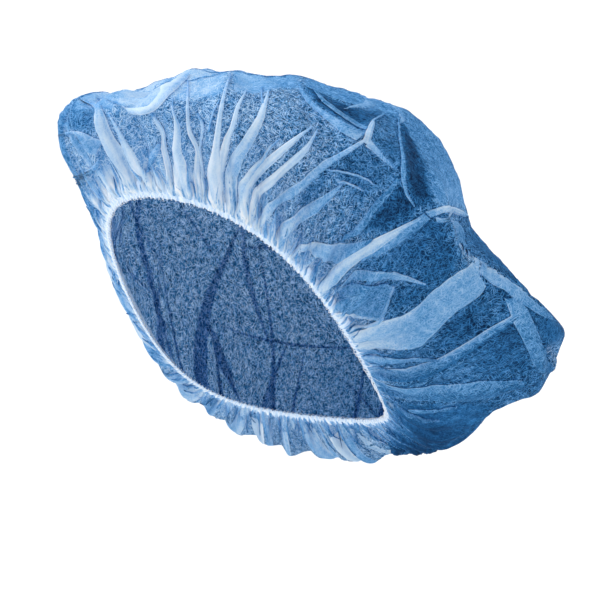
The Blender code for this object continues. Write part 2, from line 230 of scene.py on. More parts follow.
# Creases that the photograph shows, from the hem outwards where they reach it. Each is its ridge height in
# mm, then crossings from one folded edge to the other (x, y, x, y, tone): two places in pixels of the 600
# by 600 picture and how pale the doubled cloth is there, or is at each of the two
creases = {
    "leftFrontBand": (3.0, [(122, 194, 140, 190, 0.92), (124, 183, 135, 183, 0.88),
        (114, 166, 131, 166, 0.84), (103, 147, 121, 147, 0.84), (100, 139, 115, 139, 0.82),
        (95, 129, 110, 129, 0.78), (95.5, 118, 106.5, 118, 0.76), (97, 110, 103, 110, 0.70),
        (100, 104, 102, 104, 0.6)]),
    "leftFrontEdge": (2.0, [(152, 190, 163, 189, 0.90), (149.5, 185.5, 159.5, 185.5, 0.86),
        (140.5, 176.5, 152, 176.5, 0.84), (132, 165, 140, 165, 0.84), (124, 153, 135.5, 153, 0.80),
        (122, 144, 129, 144, 0.78), (117, 128, 120.5, 128, 0.70), (108, 112, 109, 111, 0.6)]),
    "frontCurve": (2.0, [(119.5, 103, 121, 104, 0.6), (126, 108, 128, 112, 0.75),
        (138, 108, 137.5, 115, 0.80), (149, 106, 150.5, 113, 0.82), (155, 100, 160, 107, 0.80),
        (165, 88, 170, 96, 0.78), (176, 79, 181, 86, 0.76), (187, 72.5, 190, 76, 0.7)]),
    "frontFork": (1.5, [(166.5, 191, 175.5, 191, 0.90), (167, 178, 172.5, 178, 0.84),
        (164, 161.5, 170.3, 161.5, 0.84), (160.7, 147.5, 166.6, 147.5, 0.84),
        (161.8, 137, 165.5, 137, 0.82), (159.3, 131, 165.3, 131, 0.80), (154.5, 121, 159.5, 121, 0.75),
        (150, 113, 151, 112, 0.6)]),
    "frontForkSide": (1.0, [(158, 142, 162, 143, 0.6), (152, 152, 158, 154, 0.6),
        (148, 161, 154, 163, 0.55), (146, 172, 149, 172, 0.48)]),
    "frontSpike": (2.0, [(174, 192, 188.5, 192, 0.92), (175, 183, 187, 183, 0.86),
        (174, 162, 186, 162, 0.84), (172.5, 150, 181, 150, 0.80), (174, 143, 181, 143, 0.82),
        (174.5, 126, 180.6, 126, 0.80), (174.2, 118, 177.3, 118, 0.76), (171.6, 108, 173.6, 108, 0.7),
        (173, 98, 174, 98, 0.6)]),
    "frontThread": (1.5, [(194, 193, 202, 193, 0.92), (193.5, 175, 200, 175, 0.84),
        (194.5, 162, 201, 162, 0.80), (195.8, 150, 200, 150, 0.84), (191.5, 141.5, 196.7, 141.5, 0.84),
        (187.6, 134.6, 193.2, 134.6, 0.84), (186.3, 126, 190, 126, 0.80), (186, 110, 189.6, 110, 0.78),
        (187.3, 93, 189, 93, 0.7), (187.4, 80, 188.3, 80, 0.6)]),
    "frontThreadSide": (1.0, [(202, 192, 206, 192, 0.90), (201.2, 183, 204.8, 183, 0.80),
        (199.6, 162, 202.6, 162, 0.76), (198.4, 150, 201, 150, 0.75), (199.5, 139, 202.5, 139, 0.7),
        (201.8, 130, 205, 130, 0.72), (200.8, 121, 203.6, 121, 0.68), (196.8, 112.5, 197.8, 112, 0.5)]),
    "crestBand": (3.5, [(207, 193, 223, 193, 0.93), (208.7, 183, 222, 183, 0.88),
        (207.5, 175, 223.4, 175, 0.86), (209.8, 162, 224, 162, 0.85), (212.3, 150, 219, 150, 0.85),
        (214.5, 136, 220.5, 136, 0.82), (217.7, 118, 222.2, 118, 0.78),
        (219.8, 106.4, 223.9, 106.4, 0.76), (222.6, 95.7, 225.8, 95.7, 0.74), (226, 85, 228.2, 85, 0.7),
        (230.5, 75, 231.5, 75, 0.6)]),
    "crestSpike": (2.5, [(217, 172, 224.5, 172, 0.86), (217.5, 160, 226.5, 160, 0.85),
        (220, 150, 228.5, 150, 0.85), (224, 137.5, 231, 137.5, 0.84), (230.5, 126, 235.7, 126, 0.82),
        (233.5, 114, 238, 114, 0.80), (235.8, 106.4, 240, 106.4, 0.80), (241.6, 97.5, 244, 97.5, 0.75),
        (246, 90.5, 247, 90.5, 0.6)]),
    "crestThin": (0.8, [(208.6, 131, 211, 131, 0.5), (209.6, 122, 212, 122, 0.6),
        (213, 111.4, 215, 111.4, 0.62), (219, 101, 220.4, 101, 0.6)]),
    "sideBand": (2.5, [(223, 195, 235, 195, 0.90), (225, 183, 235.5, 183, 0.78),
        (225.6, 170.6, 240.5, 170.6, 0.70), (229.7, 158, 243, 158, 0.70),
        (240.5, 141.6, 253.7, 141.6, 0.72), (250.4, 126, 261.2, 126, 0.80),
        (256.2, 118, 264.5, 118, 0.82), (261.2, 106.4, 266.6, 106.4, 0.80),
        (265, 97.3, 268.7, 97.3, 0.75), (269, 90.5, 270, 90.5, 0.6)]),
    "sideProng": (0.8, [(261.5, 105, 264.5, 105, 0.6), (260.5, 97, 262.5, 97, 0.65),
        (261.5, 88, 262.5, 88, 0.5)]),
    "sideThread": (1.0, [(233, 192, 241, 195, 0.85), (243, 177, 249, 181, 0.80),
        (251, 167, 257, 170.5, 0.75), (261, 159, 264.5, 161.5, 0.72), (268.5, 146.5, 270.5, 148.5, 0.7),
        (279.8, 138, 280.6, 139, 0.5)]),
    "sideSpike": (2.0, [(236, 197, 243, 204, 0.90), (242, 185.5, 249, 191, 0.84),
        (252, 172, 259, 178, 0.82), (265, 159, 271, 165, 0.82), (277.5, 148.5, 283, 154, 0.82),
        (288.5, 140.5, 292.5, 145, 0.80), (300, 133, 302.5, 135.5, 0.75),
        (311.7, 126.6, 312.5, 127.5, 0.6)]),
    "sideSpikeOuter": (2.0, [(244, 201, 250, 208, 0.90), (249, 194, 256, 200, 0.86),
        (262, 182, 268.5, 188.5, 0.84), (275, 171, 281, 177, 0.82), (287, 161.5, 292.5, 167, 0.80),
        (297.5, 152, 302.5, 157, 0.78), (307.5, 142.5, 310.5, 145.5, 0.75),
        (316.5, 129.5, 317.8, 130.5, 0.6)]),
    "farCornerLine": (1.5, [(64, 132.5, 64.5, 135, 0.55), (72, 130.5, 72, 133.5, 0.6),
        (80, 130.5, 79, 136, 0.62), (88.2, 134, 83, 144, 0.62), (95, 138, 88, 151, 0.6),
        (103, 141.5, 96, 155, 0.62)]),
    "farCornerSpike": (1.5, [(99, 157, 101, 160, 0.6), (96, 163.5, 99.5, 166.5, 0.6),
        (87, 171, 91.5, 175, 0.55), (81.5, 184, 83.5, 186.5, 0.45)]),
    "starStem": (3.0, [(252, 212, 258, 218, 0.85), (266, 203.5, 272, 209, 0.70),
        (275, 198.5, 283, 203, 0.64), (286, 190, 293, 196, 0.62), (305.5, 176, 309, 184, 0.60),
        (323, 160.5, 326, 168, 0.60), (337, 154, 339, 158.5, 0.60), (356, 143.3, 358, 147, 0.66),
        (363, 139.5, 364.5, 142, 0.75)]),
    "starUpper": (3.5, [(298, 86, 301, 86, 0.4), (299.5, 92, 305, 94, 0.52), (305.5, 102, 318, 108, 0.56),
        (322, 117, 336, 119.5, 0.57), (340, 132.5, 351, 127.5, 0.54), (356, 141.5, 366, 134, 0.6)]),
    "starUpperLine": (0.8, [(311, 88, 313, 87, 0.4), (322, 103, 325, 101, 0.42),
        (336, 114.5, 338.5, 111.5, 0.45), (355, 125.5, 357, 122.5, 0.48), (366, 131, 368, 129, 0.5)]),
    "starTop": (2.0, [(361, 143, 371, 148, 0.72), (365, 133, 370.5, 139, 0.76),
        (369, 125, 374, 126, 0.70), (372, 120.5, 373.5, 121.5, 0.6), (384, 113.5, 385, 115, 0.5)]),
    "starRight": (2.0, [(364, 146, 371, 140, 0.72), (371, 150, 375, 146.5, 0.6),
        (382, 160.5, 384, 157.5, 0.52), (396, 171, 397, 169.5, 0.45)]),
    "starFar": (2.5, [(396.5, 119, 398, 119, 0.45), (398, 141, 400, 141, 0.5),
        (400.5, 160, 403.5, 160, 0.48), (399.5, 172, 405, 172, 0.5), (401, 182, 404.5, 182, 0.55),
        (405, 195, 407.5, 194, 0.55), (413.5, 207, 414.5, 206, 0.45)]),
    "speckledBand": (2.0, [(272, 233, 282, 240, 0.85), (283, 222, 292, 230, 0.72),
        (302, 208.5, 311, 216, 0.64), (318, 198, 325, 204.5, 0.60), (331, 190, 335, 195, 0.58),
        (342, 183, 343, 184, 0.5)]),
    "thinCreaseUpper": (0.6, [(327, 168, 327.5, 169.5, 0.55), (341, 170, 341, 172, 0.62),
        (356.5, 173.5, 356, 175.7, 0.62), (368, 178.6, 367.5, 180.6, 0.6),
        (374.5, 184.5, 374, 185.5, 0.5)]),
    "thinCreaseLower": (0.6, [(337, 182, 337.5, 183.5, 0.5), (344, 180, 344, 182, 0.66),
        (354, 184, 353.5, 186, 0.66), (363, 189.5, 362.5, 190.7, 0.5)]),
    "panelFold": (1.5, [(397, 177, 400, 179, 0.42), (385, 191, 390, 194, 0.42),
        (373, 203, 380, 206, 0.42), (367, 212, 373, 214, 0.44), (360, 222, 368, 224, 0.46),
        (352, 231, 358, 235, 0.46), (343, 236, 346, 239, 0.5), (341.5, 242, 343, 242, 0.45)]),
    "apexArch": (2.0, [(287, 248, 290, 254, 0.85), (304, 242.5, 306, 249, 0.74),
        (326, 242.5, 324, 260, 0.64), (344, 244, 338, 264, 0.56), (358, 242, 354, 253, 0.5),
        (375, 237.5, 371, 242, 0.45)]),
    "apexBand": (4.0, [(318, 280, 330, 289, 0.72), (337, 264.5, 347.5, 269, 0.74),
        (354, 251.5, 359, 260, 0.78), (369, 241, 378, 250, 0.78), (385.5, 233, 391, 238.5, 0.76),
        (403, 224, 405, 227.5, 0.72), (420, 216, 421, 218, 0.6)]),
    "apexUnder": (1.5, [(359, 259, 362, 261.5, 0.5), (376, 249, 380, 254.5, 0.52),
        (394, 236, 400, 242, 0.52), (410, 222.5, 416, 229.5, 0.5), (424, 212.5, 431, 218, 0.52)]),
    "apexCap": (2.0, [(424, 212, 430, 217, 0.52), (442.5, 206, 444, 212, 0.72),
        (453, 207.5, 452, 213.5, 0.72), (461, 211, 458, 216, 0.7), (467, 215, 466, 218, 0.6)]),
    "apexFall": (2.5, [(434, 216.5, 436, 221, 0.6), (445, 219, 446, 227, 0.56), (457, 222, 452, 236, 0.5),
        (466, 231, 455, 246, 0.46), (467, 245, 449, 253, 0.45), (468, 258, 455, 264, 0.45)]),
    "crescent": (1.5, [(341, 278, 341, 280, 0.5), (348, 271.5, 346, 280, 0.52),
        (362.5, 270.3, 362, 280, 0.52), (382, 270.3, 382, 279, 0.55), (399.5, 273, 399, 280, 0.6),
        (414.5, 278, 414, 281.5, 0.62), (426.5, 283, 426.5, 284, 0.5)]),
    "pocket": (0.8, [(353, 282.5, 388, 284, 0.45), (338, 291, 393.5, 287, 0.46),
        (339, 303, 389, 305, 0.46), (341, 313, 384.5, 319, 0.5)]),
    "pocketLine": (0.8, [(393, 285, 395, 286, 0.6), (386, 305, 388.5, 306, 0.6),
        (379, 320, 381, 321, 0.6)]),
    "pocketBand": (1.0, [(338, 309, 341, 316, 0.84), (352, 312.5, 352, 317, 0.76),
        (366, 316, 366, 319, 0.7), (380, 316.5, 380, 320.5, 0.65)]),
    "pocketLip": (0.8, [(352, 325, 354, 329, 0.76), (366, 325, 366, 328, 0.7), (376, 321, 378, 325, 0.7),
        (384, 316, 386, 318, 0.6)]),
    "cornerBand": (4.5, [(352, 330, 366, 346, 0.84), (370, 327, 385, 349, 0.72),
        (384, 320, 400, 349, 0.64), (406, 313.5, 420, 346, 0.59), (419, 305, 438.5, 328, 0.57),
        (432, 291, 452.5, 313.5, 0.58), (447, 279, 470, 301.5, 0.58), (461, 269, 482, 295, 0.58),
        (472, 264.5, 485, 284, 0.62)]),
    "cornerRim": (3.5, [(473, 264.5, 478, 273, 0.6), (485, 270, 489, 283, 0.64),
        (503, 278.5, 502.5, 289.5, 0.6), (516, 287.5, 514.5, 300, 0.56), (529, 297.5, 526, 307, 0.52),
        (540.5, 307, 538, 315, 0.47), (550, 316, 551, 321, 0.42)]),
    "cornerRidge": (3.0, [(388, 372, 390, 384, 0.62, 0.5), (402, 369, 404, 382, 0.56, 0.3),
        (422, 363.5, 425, 377, 0.56, 0.24), (438, 358.5, 440, 371, 0.58, 0.24),
        (453.5, 349.5, 456, 361, 0.6, 0.24), (472, 338.5, 474, 349, 0.6, 0.24),
        (487.5, 328, 490, 337, 0.6, 0.24), (505, 318, 507, 325, 0.58, 0.26),
        (521.5, 309, 523, 313, 0.56, 0.4)]),
    "cornerEdge": (3.0, [(503, 297, 512, 297, 0.5), (508, 308, 525, 307, 0.52), (512, 321, 531, 318, 0.5),
        (520, 335, 538, 334, 0.45), (528.5, 352, 545, 353, 0.42), (531, 361, 548, 361, 0.38),
        (540, 372, 551, 372, 0.32)]),
    "lowBand": (2.5, [(392, 387, 397, 402, 0.54, 0.44), (425, 386, 428, 400, 0.50, 0.34),
        (454, 384, 456, 400, 0.49, 0.32), (475, 381, 478, 400, 0.46, 0.3),
        (500, 380, 497, 395, 0.42, 0.3), (525, 379, 522, 386, 0.36, 0.3)]),
    "lowThread": (1.0, [(372, 355, 373, 361, 0.6), (396, 357, 397, 362, 0.5), (420, 358, 421, 362, 0.48),
        (440, 359, 440, 361, 0.45)]),
    "bagGather": (1.0, [(398, 405.5, 399, 408, 0.42), (409, 412, 408, 416, 0.42),
        (425, 419, 424, 422.5, 0.4), (440, 419, 440, 421, 0.35)]),
    "bagGatherSide": (1.0, [(400, 407, 401, 409, 0.42), (420, 408, 420, 411.5, 0.42),
        (440, 408, 440, 411, 0.4), (458, 406, 458, 408, 0.35)]),
}
# Cloth that shows darker or paler than round it, partly thinner or doubled cloth and partly painted light
# and shade: the darker patches on the right, the back and under the bag are painted shade, and the paler
# ones at the front and the upper rim painted light. Each is how clearly its fibres show, then crossings as
# for a crease
patches = {
    "slotRight": (0.9, [(401, 124, 411, 124, 0.10), (404, 141, 414, 141, 0.10),
        (406, 165, 423, 165, 0.10), (409, 185, 427, 185, 0.08), (416, 206, 431, 202, 0.08)]),
    "topRight": (0.8, [(305, 89, 311, 86, 0.20), (318, 105, 330, 98, 0.15), (340, 119, 352, 108, 0.12),
        (362, 127, 380, 113, 0.16)]),
    "starRight": (0.9, [(374, 130, 395, 122, 0.30), (376, 145, 398, 141, 0.26),
        (388, 158, 400, 160, 0.24)]),
    "underStar": (1.0, [(328, 172, 350, 150, 0.27), (345, 180, 372, 153, 0.25),
        (358, 200, 396, 175, 0.22)]),
    "stemRight": (1.0, [(290, 202, 322, 172, 0.25), (302, 208, 338, 182, 0.25)]),
    "panelBack": (0.9, [(380, 208, 402, 186, 0.10), (372, 220, 416, 210, 0.10),
        (358, 236, 385, 228, 0.12)]),
    "apexBelow": (0.9, [(425, 220, 436, 222, 0.14), (400, 244, 448, 240, 0.22),
        (386, 256, 456, 256, 0.19), (356, 266, 456, 268, 0.20), (425, 284, 445, 280, 0.16)]),
    "crescentBelow": (1.0, [(400, 284, 428, 287, 0.16), (394, 296, 428, 292, 0.14),
        (388, 314, 412, 306, 0.14)]),
    "darkSliver": (0.6, [(341, 283, 357, 280.5, 0.08), (337, 289, 343, 286, 0.08)]),
    "corner": (1.0, [(486, 288, 500, 293, 0.24), (476, 300, 505, 306, 0.22), (458, 315, 505, 315, 0.20),
        (445, 330, 480, 330, 0.17), (436, 345, 455, 348, 0.17), (420, 352, 440, 357, 0.22)]),
    "underRidge": (0.8, [(510, 322, 516, 326, 0.16), (480, 345, 522, 345, 0.20),
        (445, 365, 528, 360, 0.23), (405, 383, 530, 372, 0.26)]),
    "tip": (0.5, [(535, 318, 552, 320, 0.22), (542, 330, 560, 330, 0.26), (548, 345, 560, 347, 0.24)]),
    "backSlope": (0.45, [(472, 232, 478, 236, 0.20), (476, 245, 492, 253, 0.26),
        (490, 258, 508, 270, 0.22), (512, 280, 525, 288, 0.24)]),
    # painted shade, darkening towards the bottom of the bag
    "bagLow": (0.4, [(393, 404, 490, 405, 0.27), (391, 418, 485, 418, 0.22), (390, 430, 478, 430, 0.13),
        (390, 442, 462, 442, 0.07), (390, 470, 440, 470, 0.02)]),
    "farCorner": (0.6, [(60, 108, 95, 108, 0.38), (64, 125, 92, 125, 0.34), (66, 131, 95, 134, 0.36)]),
    "farFrontBand": (0.4, [(110, 206, 131, 194, 0.90), (103, 194, 122, 186, 0.78),
        (96, 182, 114, 172, 0.62), (98, 170, 106, 166, 0.50)]),
    "farFrontFold": (0.4, [(88, 202, 90, 206, 0.5), (92.5, 196.5, 97, 206, 0.6),
        (101, 193.5, 104, 206, 0.66), (109, 199, 110, 214, 0.76)]),
    "cornerSlope": (0.5, [(62, 108, 74, 112, 0.42), (84, 92, 88, 109, 0.52), (98, 88, 100, 109, 0.60),
        (114, 84, 113, 108, 0.62)]),
    "frontSlope": (0.5, [(116, 84, 117, 104, 0.64), (130, 80, 130, 108, 0.68), (143, 80, 144, 108, 0.70),
        (156, 76, 157, 103, 0.70), (168, 70, 171, 93, 0.66)]),
    "crestPatch": (0.7, [(168, 68, 173, 98, 0.60), (181, 60, 182, 99, 0.66), (192, 60, 192, 97, 0.68),
        (206, 60, 206, 96, 0.66), (219, 60, 218, 95, 0.60), (229, 60, 226, 91, 0.56)]),
    "crestRim": (0.5, [(232, 62, 236, 94, 0.55), (246, 62, 248, 92, 0.57), (258, 62, 260, 93, 0.57),
        (272, 62, 270, 90, 0.50), (290, 62, 288, 88, 0.44), (302, 64, 299, 88, 0.42)]),
    "topRim": (0.45, [(302, 66, 304, 86, 0.42), (322, 72, 320, 93, 0.42), (345, 80, 342, 101, 0.40),
        (365, 88, 362, 108, 0.40), (390, 96, 383, 113, 0.40), (410, 106, 396, 118, 0.40)]),
    "rimZone": (0.5, [(393, 110, 412, 108, 0.38), (404, 121, 436, 122, 0.38), (413, 141, 456, 135, 0.38),
        (424, 162, 470, 157, 0.39), (427, 180, 480, 183, 0.42), (432, 198, 474, 205, 0.46),
        (438, 206, 474, 213, 0.48)]),
}
# Where the cloth's outline sinks below the smooth cap or stands above it: points (x, y, sink) in pixels
# and mm, then how far the sinking reaches in mm across the picture; it reaches further along the view
dents = {
    "farFrontRim": ([(55, 114, 1), (64, 103, 6), (76, 96, 6), (92, 89, 8), (108, 83, 12), (122, 80, 11),
        (136, 79, 9), (150, 79, 8), (166, 78, 2)], 15),
    "leftSide": ([(54, 126, 2), (58, 145, 5), (63, 160, 8), (76, 190, 9), (88, 212, 16),
        (96, 226, 27)], 13),
    "crest": ([(162, 78, 1), (176, 73, -3), (192, 71, -3.5), (206, 71, -3), (222, 72, 1), (232, 72, -2),
        (264, 75, 1.5), (300, 77, -1)], 10),
    "crownShoulder": ([(320, 82, -1), (350, 90, 0), (385, 100, 1.5), (410, 113, -1), (432, 128, 1),
        (446, 150, 0)], 16),
    "apexNotch": ([(468, 197, 1), (476, 213, 25), (485, 226, 50), (495, 241, 24), (504, 255, 8)], 11),
    "backSlope": ([(508, 258, 8), (520, 272, 9), (536, 290, 7), (548, 304, 1)], 14),
    "cornerTips": ([(562, 330, -1), (566, 345, -6), (562, 357, 17), (559, 367, 14), (556, 379, -4),
        (549, 390, 9)], 8),
    "cornerFall": ([(540, 399, 0), (530, 407, -1), (516, 420, 7), (500, 428, 12), (484, 438, 7)], 13),
    "bagBottom": ([(390, 463, 8), (414, 462, 5), (438, 456, 4), (452, 450, 1), (464, 445, 0)], 14),
}
dentStretch = 4.0       # times further along the view than across it

# Creases on the sides that the photograph doesn't show: gathers that run from the hem and bend, and folds
# that lie across the cloth higher up and over the top. Lengths in metres, turns in degrees
unseen = {
    "firstDegree": 174, "lastDegree": 345,
    "gathers": 30,
    "reach": (0.16, 0.62),      # share of the way up where they end
    "width": (0.004, 0.015),
    "height": (0.002, 0.006),
    "pale": (0.48, 0.80),
    "startUneven": 3, "lean": 9, "turn": 14,
    "bend": (0.35, 0.7), "bendPower": 1.3,      # share of their length where they bend
    "lowest": 0.035,
    "closing": (1.05, 0.04), "fuller": (0.75, 0.5),     # how the width closes, and swells before that
    "folds": 40, "foldsFrom": 142, "foldsTo": 318,
    "foldUp": (0.24, 0.80), "topFoldUp": (0.70, 0.90), "foldsWithin": (0.12, 0.97),
    "foldLength": (0.045, 0.140), "foldWidth": (0.0015, 0.0075),
    "foldHeight": (0.0004, 0.0012), "foldPale": (0.40, 0.62),
    "foldCurl": 0.3,            # radians that a fold turns along its length
    "foldPoint": 0.04,          # share of the width that its ends keep
    "foldRadius": 0.03,         # nearest to the top that its run is measured
    "topFolds": 16,
    "paleFrom": 1.1, "paleFall": 0.3,
    "seed": 5,
}


# How places in the picture are found on the grid
finding = {
    "fillTurns": 40,            # pixels that the nearest grid point spreads to round it
    "edgeOn": 0.05,             # a face smaller than this in the picture, in square pixels, gives no step
    "furthest": 2,              # steps of the grid that a place may be moved by
}


def projectGrid(surface):
    # grid points of a cap that face the camera: row, column, place in the picture, how that place changes
    # along a row and up a column, and which of the points is nearest to each pixel
    right, upward, back, eye = cameraAxes()
    away = surface - eye
    depth = -(away @ back)
    reach = camera["pixelsPerMetre"] * camera["distance"]
    place = np.stack([camera["picture"] / 2 + reach * (away @ right) / depth,
                      camera["picture"] / 2 - reach * (away @ upward) / depth], axis=-1)
    upSlope = np.gradient(place, axis=0)
    aroundSlope = acrossNeighbours(place) / 2
    row, column = np.nonzero((gridNormals(surface) * -away).sum(axis=-1) > 0)
    order = np.argsort(-depth[row, column])
    row, column = row[order], column[order]
    size = int(camera["picture"])
    nearest = np.full((size, size), -1)
    pixel = np.clip(np.rint(place[row, column]).astype(int), 0, size - 1)
    nearest[pixel[:, 1], pixel[:, 0]] = np.arange(len(row))
    for turn in range(finding["fillTurns"]):
        for shift, axis in ((1, 0), (-1, 0), (1, 1), (-1, 1)):
            nearest = np.where(nearest < 0, np.roll(nearest, shift, axis=axis), nearest)
    return row, column, place[row, column], aroundSlope[row, column], upSlope[row, column], nearest


def evened(grid, turns):
    # each point drawn to the mean of its neighbours, the hem kept
    for turn in range(turns):
        grid = (np.roll(grid, 1, axis=1) + 2 * grid + np.roll(grid, -1, axis=1)) / 4
        grid[1:-1] = (grid[:-2] + 2 * grid[1:-1] + grid[2:]) / 4
    return grid


def findInPicture(seen, x, y):
    # row and column of the grid that each picture point shows: the nearest projected grid point, then one
    # step along the grid's own slopes in the picture
    row, column, place, aroundSlope, upSlope, nearest = seen
    last = nearest.shape[0] - 1
    found = nearest[np.clip(np.rint(y).astype(int), 0, last), np.clip(np.rint(x).astype(int), 0, last)]
    offX, offY = x - place[found, 0], y - place[found, 1]
    around, rise = aroundSlope[found], upSlope[found]
    twist = rise[:, 0] * around[:, 1] - around[:, 0] * rise[:, 1]
    twist = np.where(np.abs(twist) < finding["edgeOn"], np.inf, twist)
    furthest = finding["furthest"]
    rowStep = np.clip((offX * around[:, 1] - offY * around[:, 0]) / twist, -furthest, furthest)
    columnStep = np.clip((offY * rise[:, 0] - offX * rise[:, 1]) / twist, -furthest, furthest)
    return np.clip(row[found] + rowStep, 0, crown["rows"]), column[found] + columnStep


def alongPoints(points, count):
    # evenly spaced samples of the straight runs between the points, or between the middles of crossings
    points = np.array(points, dtype=float)
    middle = (points[:, :2] + points[:, 2:4]) / 2 if points.shape[1] > 3 else points[:, :2]
    walk = np.concatenate([[0], np.cumsum(np.maximum(np.hypot(*np.diff(middle, axis=0).T), 1e-6))])
    at = np.linspace(0, walk[-1], count)
    return np.stack([np.interp(at, walk, column) for column in points.T], axis=-1)


# Doubled folds and tucks that lie on the crown cloth, in metres where a value is a size
tuck = {
    "along": 60, "across": 11,      # samples of each tuck
    "fineAlong": 12, "fineAcross": 5,
    "dentSamples": 24,
    "steadyOver": 5, "steadyTurns": 3,      # samples of the median, and turns of the mean after it
    "edge": 0.86,                   # share of the half width where the paler folded edge starts
    "edgePaler": 0.08, "firstEdgePaler": 0.07,
    "lift": 0.0012,                 # how far the doubled cloth lies above the single cloth
    "edgeLift": 0.50,               # share of it that the two edges keep
    "unseenLower": 3,               # the unseen ones lie this many times closer to the cloth
    "hemRows": 22, "hemSamples": 9,     # a fold that starts this close to the hem runs down into it
    "clear": 0.5,                   # how clearly single fibres show in doubled cloth
    "level": 0.97, "pleatDepth": 0.05,      # tone of a tuck, and how much its lesser pleats change it
    "pleats": (3, 7), "pleatSlant": (-2, 2), "pleatPlace": (0, 6),      # radians
    "fineGathers": 230,             # short tucks crowded at the hem
    "fineLength": (0.007, 0.030), "fineWidth": (0.0010, 0.0028),
    "fineUneven": 0.4, "fineLean": 1.6, "fineBend": 1.5,    # share of the spacing, degrees, and power
    "fineClosing": (1.02, 0.05), "finePale": (0.80, 1.0),
    "fineCrowded": (0.35, 0.65), "finePaleFall": 0.55,
    "seed": 21,
}


def steady(grid):
    # places along a strip without stray samples: median of five neighbours, then means of three
    span = tuck["steadyOver"]
    padded = np.pad(grid, ((span // 2, span // 2), (0, 0)), mode="edge")
    grid = np.median([padded[shift:shift + len(grid)] for shift in range(span)], axis=0)
    for turn in range(tuck["steadyTurns"]):
        padded = np.pad(grid, 1, mode="edge")
        grid = (padded[:-2, 1:-1] + 2 * grid + padded[2:, 1:-1]) / 4
        grid[:, 1:-1] = (grid[:, :-2] + 2 * grid[:, 1:-1] + grid[:, 2:]) / 4
    return grid


def seenTucks(seen):
    # rows and columns of the grid under each tuck of the picture and how pale it is, samples along by
    # samples across, with its ridge height and its half width in metres along
    rows, columns, pale, height, spans = [], [], [], [], []
    part = np.linspace(0, 1, tuck["across"])
    half = crown["columns"] / 2
    for ridge, crossings in creases.values():
        line = alongPoints(crossings, tuck["along"])
        x = line[:, 0, None] * (1 - part) + line[:, 2, None] * part
        y = line[:, 1, None] * (1 - part) + line[:, 3, None] * part
        row, column = findInPicture(seen, x.ravel(), y.ravel())
        row = steady(row.reshape(x.shape))
        column = column.reshape(x.shape)
        first = column[0, 0]
        column = steady((column - first + half) % crown["columns"]) + first - half
        if row[0].mean() < tuck["hemRows"]:
            ease = np.clip(1 - np.arange(tuck["along"]) / tuck["hemSamples"], 0, 1)
            row = np.maximum(row - row[0].max() * ease[:, None], 0)
        rows.append(row)
        columns.append(column)
        pale.append(line[:, 4, None] * (1 - part) + line[:, -1, None] * part)
        height.append(ridge / 1000)
        wide = np.hypot(line[:, 2] - line[:, 0], line[:, 3] - line[:, 1])
        spans.append(wide / 2 / camera["pixelsPerMetre"])
    return np.array(rows), np.array(columns), np.array(pale), np.array(height), np.array(spans)


# How the patches are painted
patching = {
    "least": 4,                 # square pixels added to each distance, so that no crossing counts alone
    "softening": 3,             # evening turns of their edges
}


def paintPatches(seen, layers):
    # layers with the tone of every patch set inside its outline, found by the even-odd rule, and softened,
    # and how clearly the fibres show. The tone is a mean of the crossings', weighted by nearness, and is
    # partly painted light and shade
    row, column, place = seen[:3]
    share, level, clear = np.zeros_like(layers), np.zeros_like(layers), np.zeros_like(layers)
    for clearness, crossings in patches.values():
        crossings = np.array(crossings)
        outline = np.concatenate([crossings[:, :2], crossings[::-1, 2:4]])
        inside = np.zeros(len(place), dtype=bool)
        for (x1, y1), (x2, y2) in zip(outline, np.roll(outline, -1, axis=0)):
            between = (y1 > place[:, 1]) != (y2 > place[:, 1])
            slope = (x2 - x1) / (y2 - y1) if y1 != y2 else 0.0
            inside ^= between & (place[:, 0] < x1 + (place[:, 1] - y1) * slope)
        middle = (crossings[:, :2] + crossings[:, 2:4]) / 2
        apart = ((place[inside, None] - middle[None])**2).sum(axis=-1)
        near = 1 / (apart + patching["least"])**2
        share[row[inside], column[inside]] = 1
        level[row[inside], column[inside]] = (near * crossings[:, 4]).sum(axis=-1) / near.sum(axis=-1)
        clear[row[inside], column[inside]] = clearness
    share, level, clear = (evened(grid, patching["softening"]) for grid in (share, level, clear))
    return layers * (1 - share) + level, 1 - share + clear


def gridPlace(angle, up):
    # row and column of the grid at an angle and a share of the way up, the reverse of crownGrid
    length = profileLength(angle)
    lowest = (form["hemWidth"] - form["tuckedUnder"]) / length
    share = np.clip((up - lowest) / (crown["topHole"] - lowest), 0, 1)
    even, crowded = crown["evenRows"], crown["crowdedRows"]
    step = (np.sqrt(even**2 + 4 * crowded * share) - even) / (2 * crowded)
    return step * crown["rows"], angle / (2 * np.pi) * crown["columns"]


def planTucks(angle, up, width, across):
    # rows and columns of tucks given by angle, share up and width at each sample along them
    point = smoothCloth(angle, up)
    radius = np.hypot(point[..., 0], point[..., 1])
    length = profileLength(angle)
    runAcross, runUp = np.gradient(angle, axis=1) * radius, np.gradient(up, axis=1) * length
    size = np.maximum(np.hypot(runAcross, runUp), 1e-9)
    side = np.linspace(-0.5, 0.5, across)
    sideAngle = angle[..., None] + (runUp / size / radius * width)[..., None] * side
    sideUp = up[..., None] - (runAcross / size / length * width)[..., None] * side
    return gridPlace(sideAngle, sideUp)


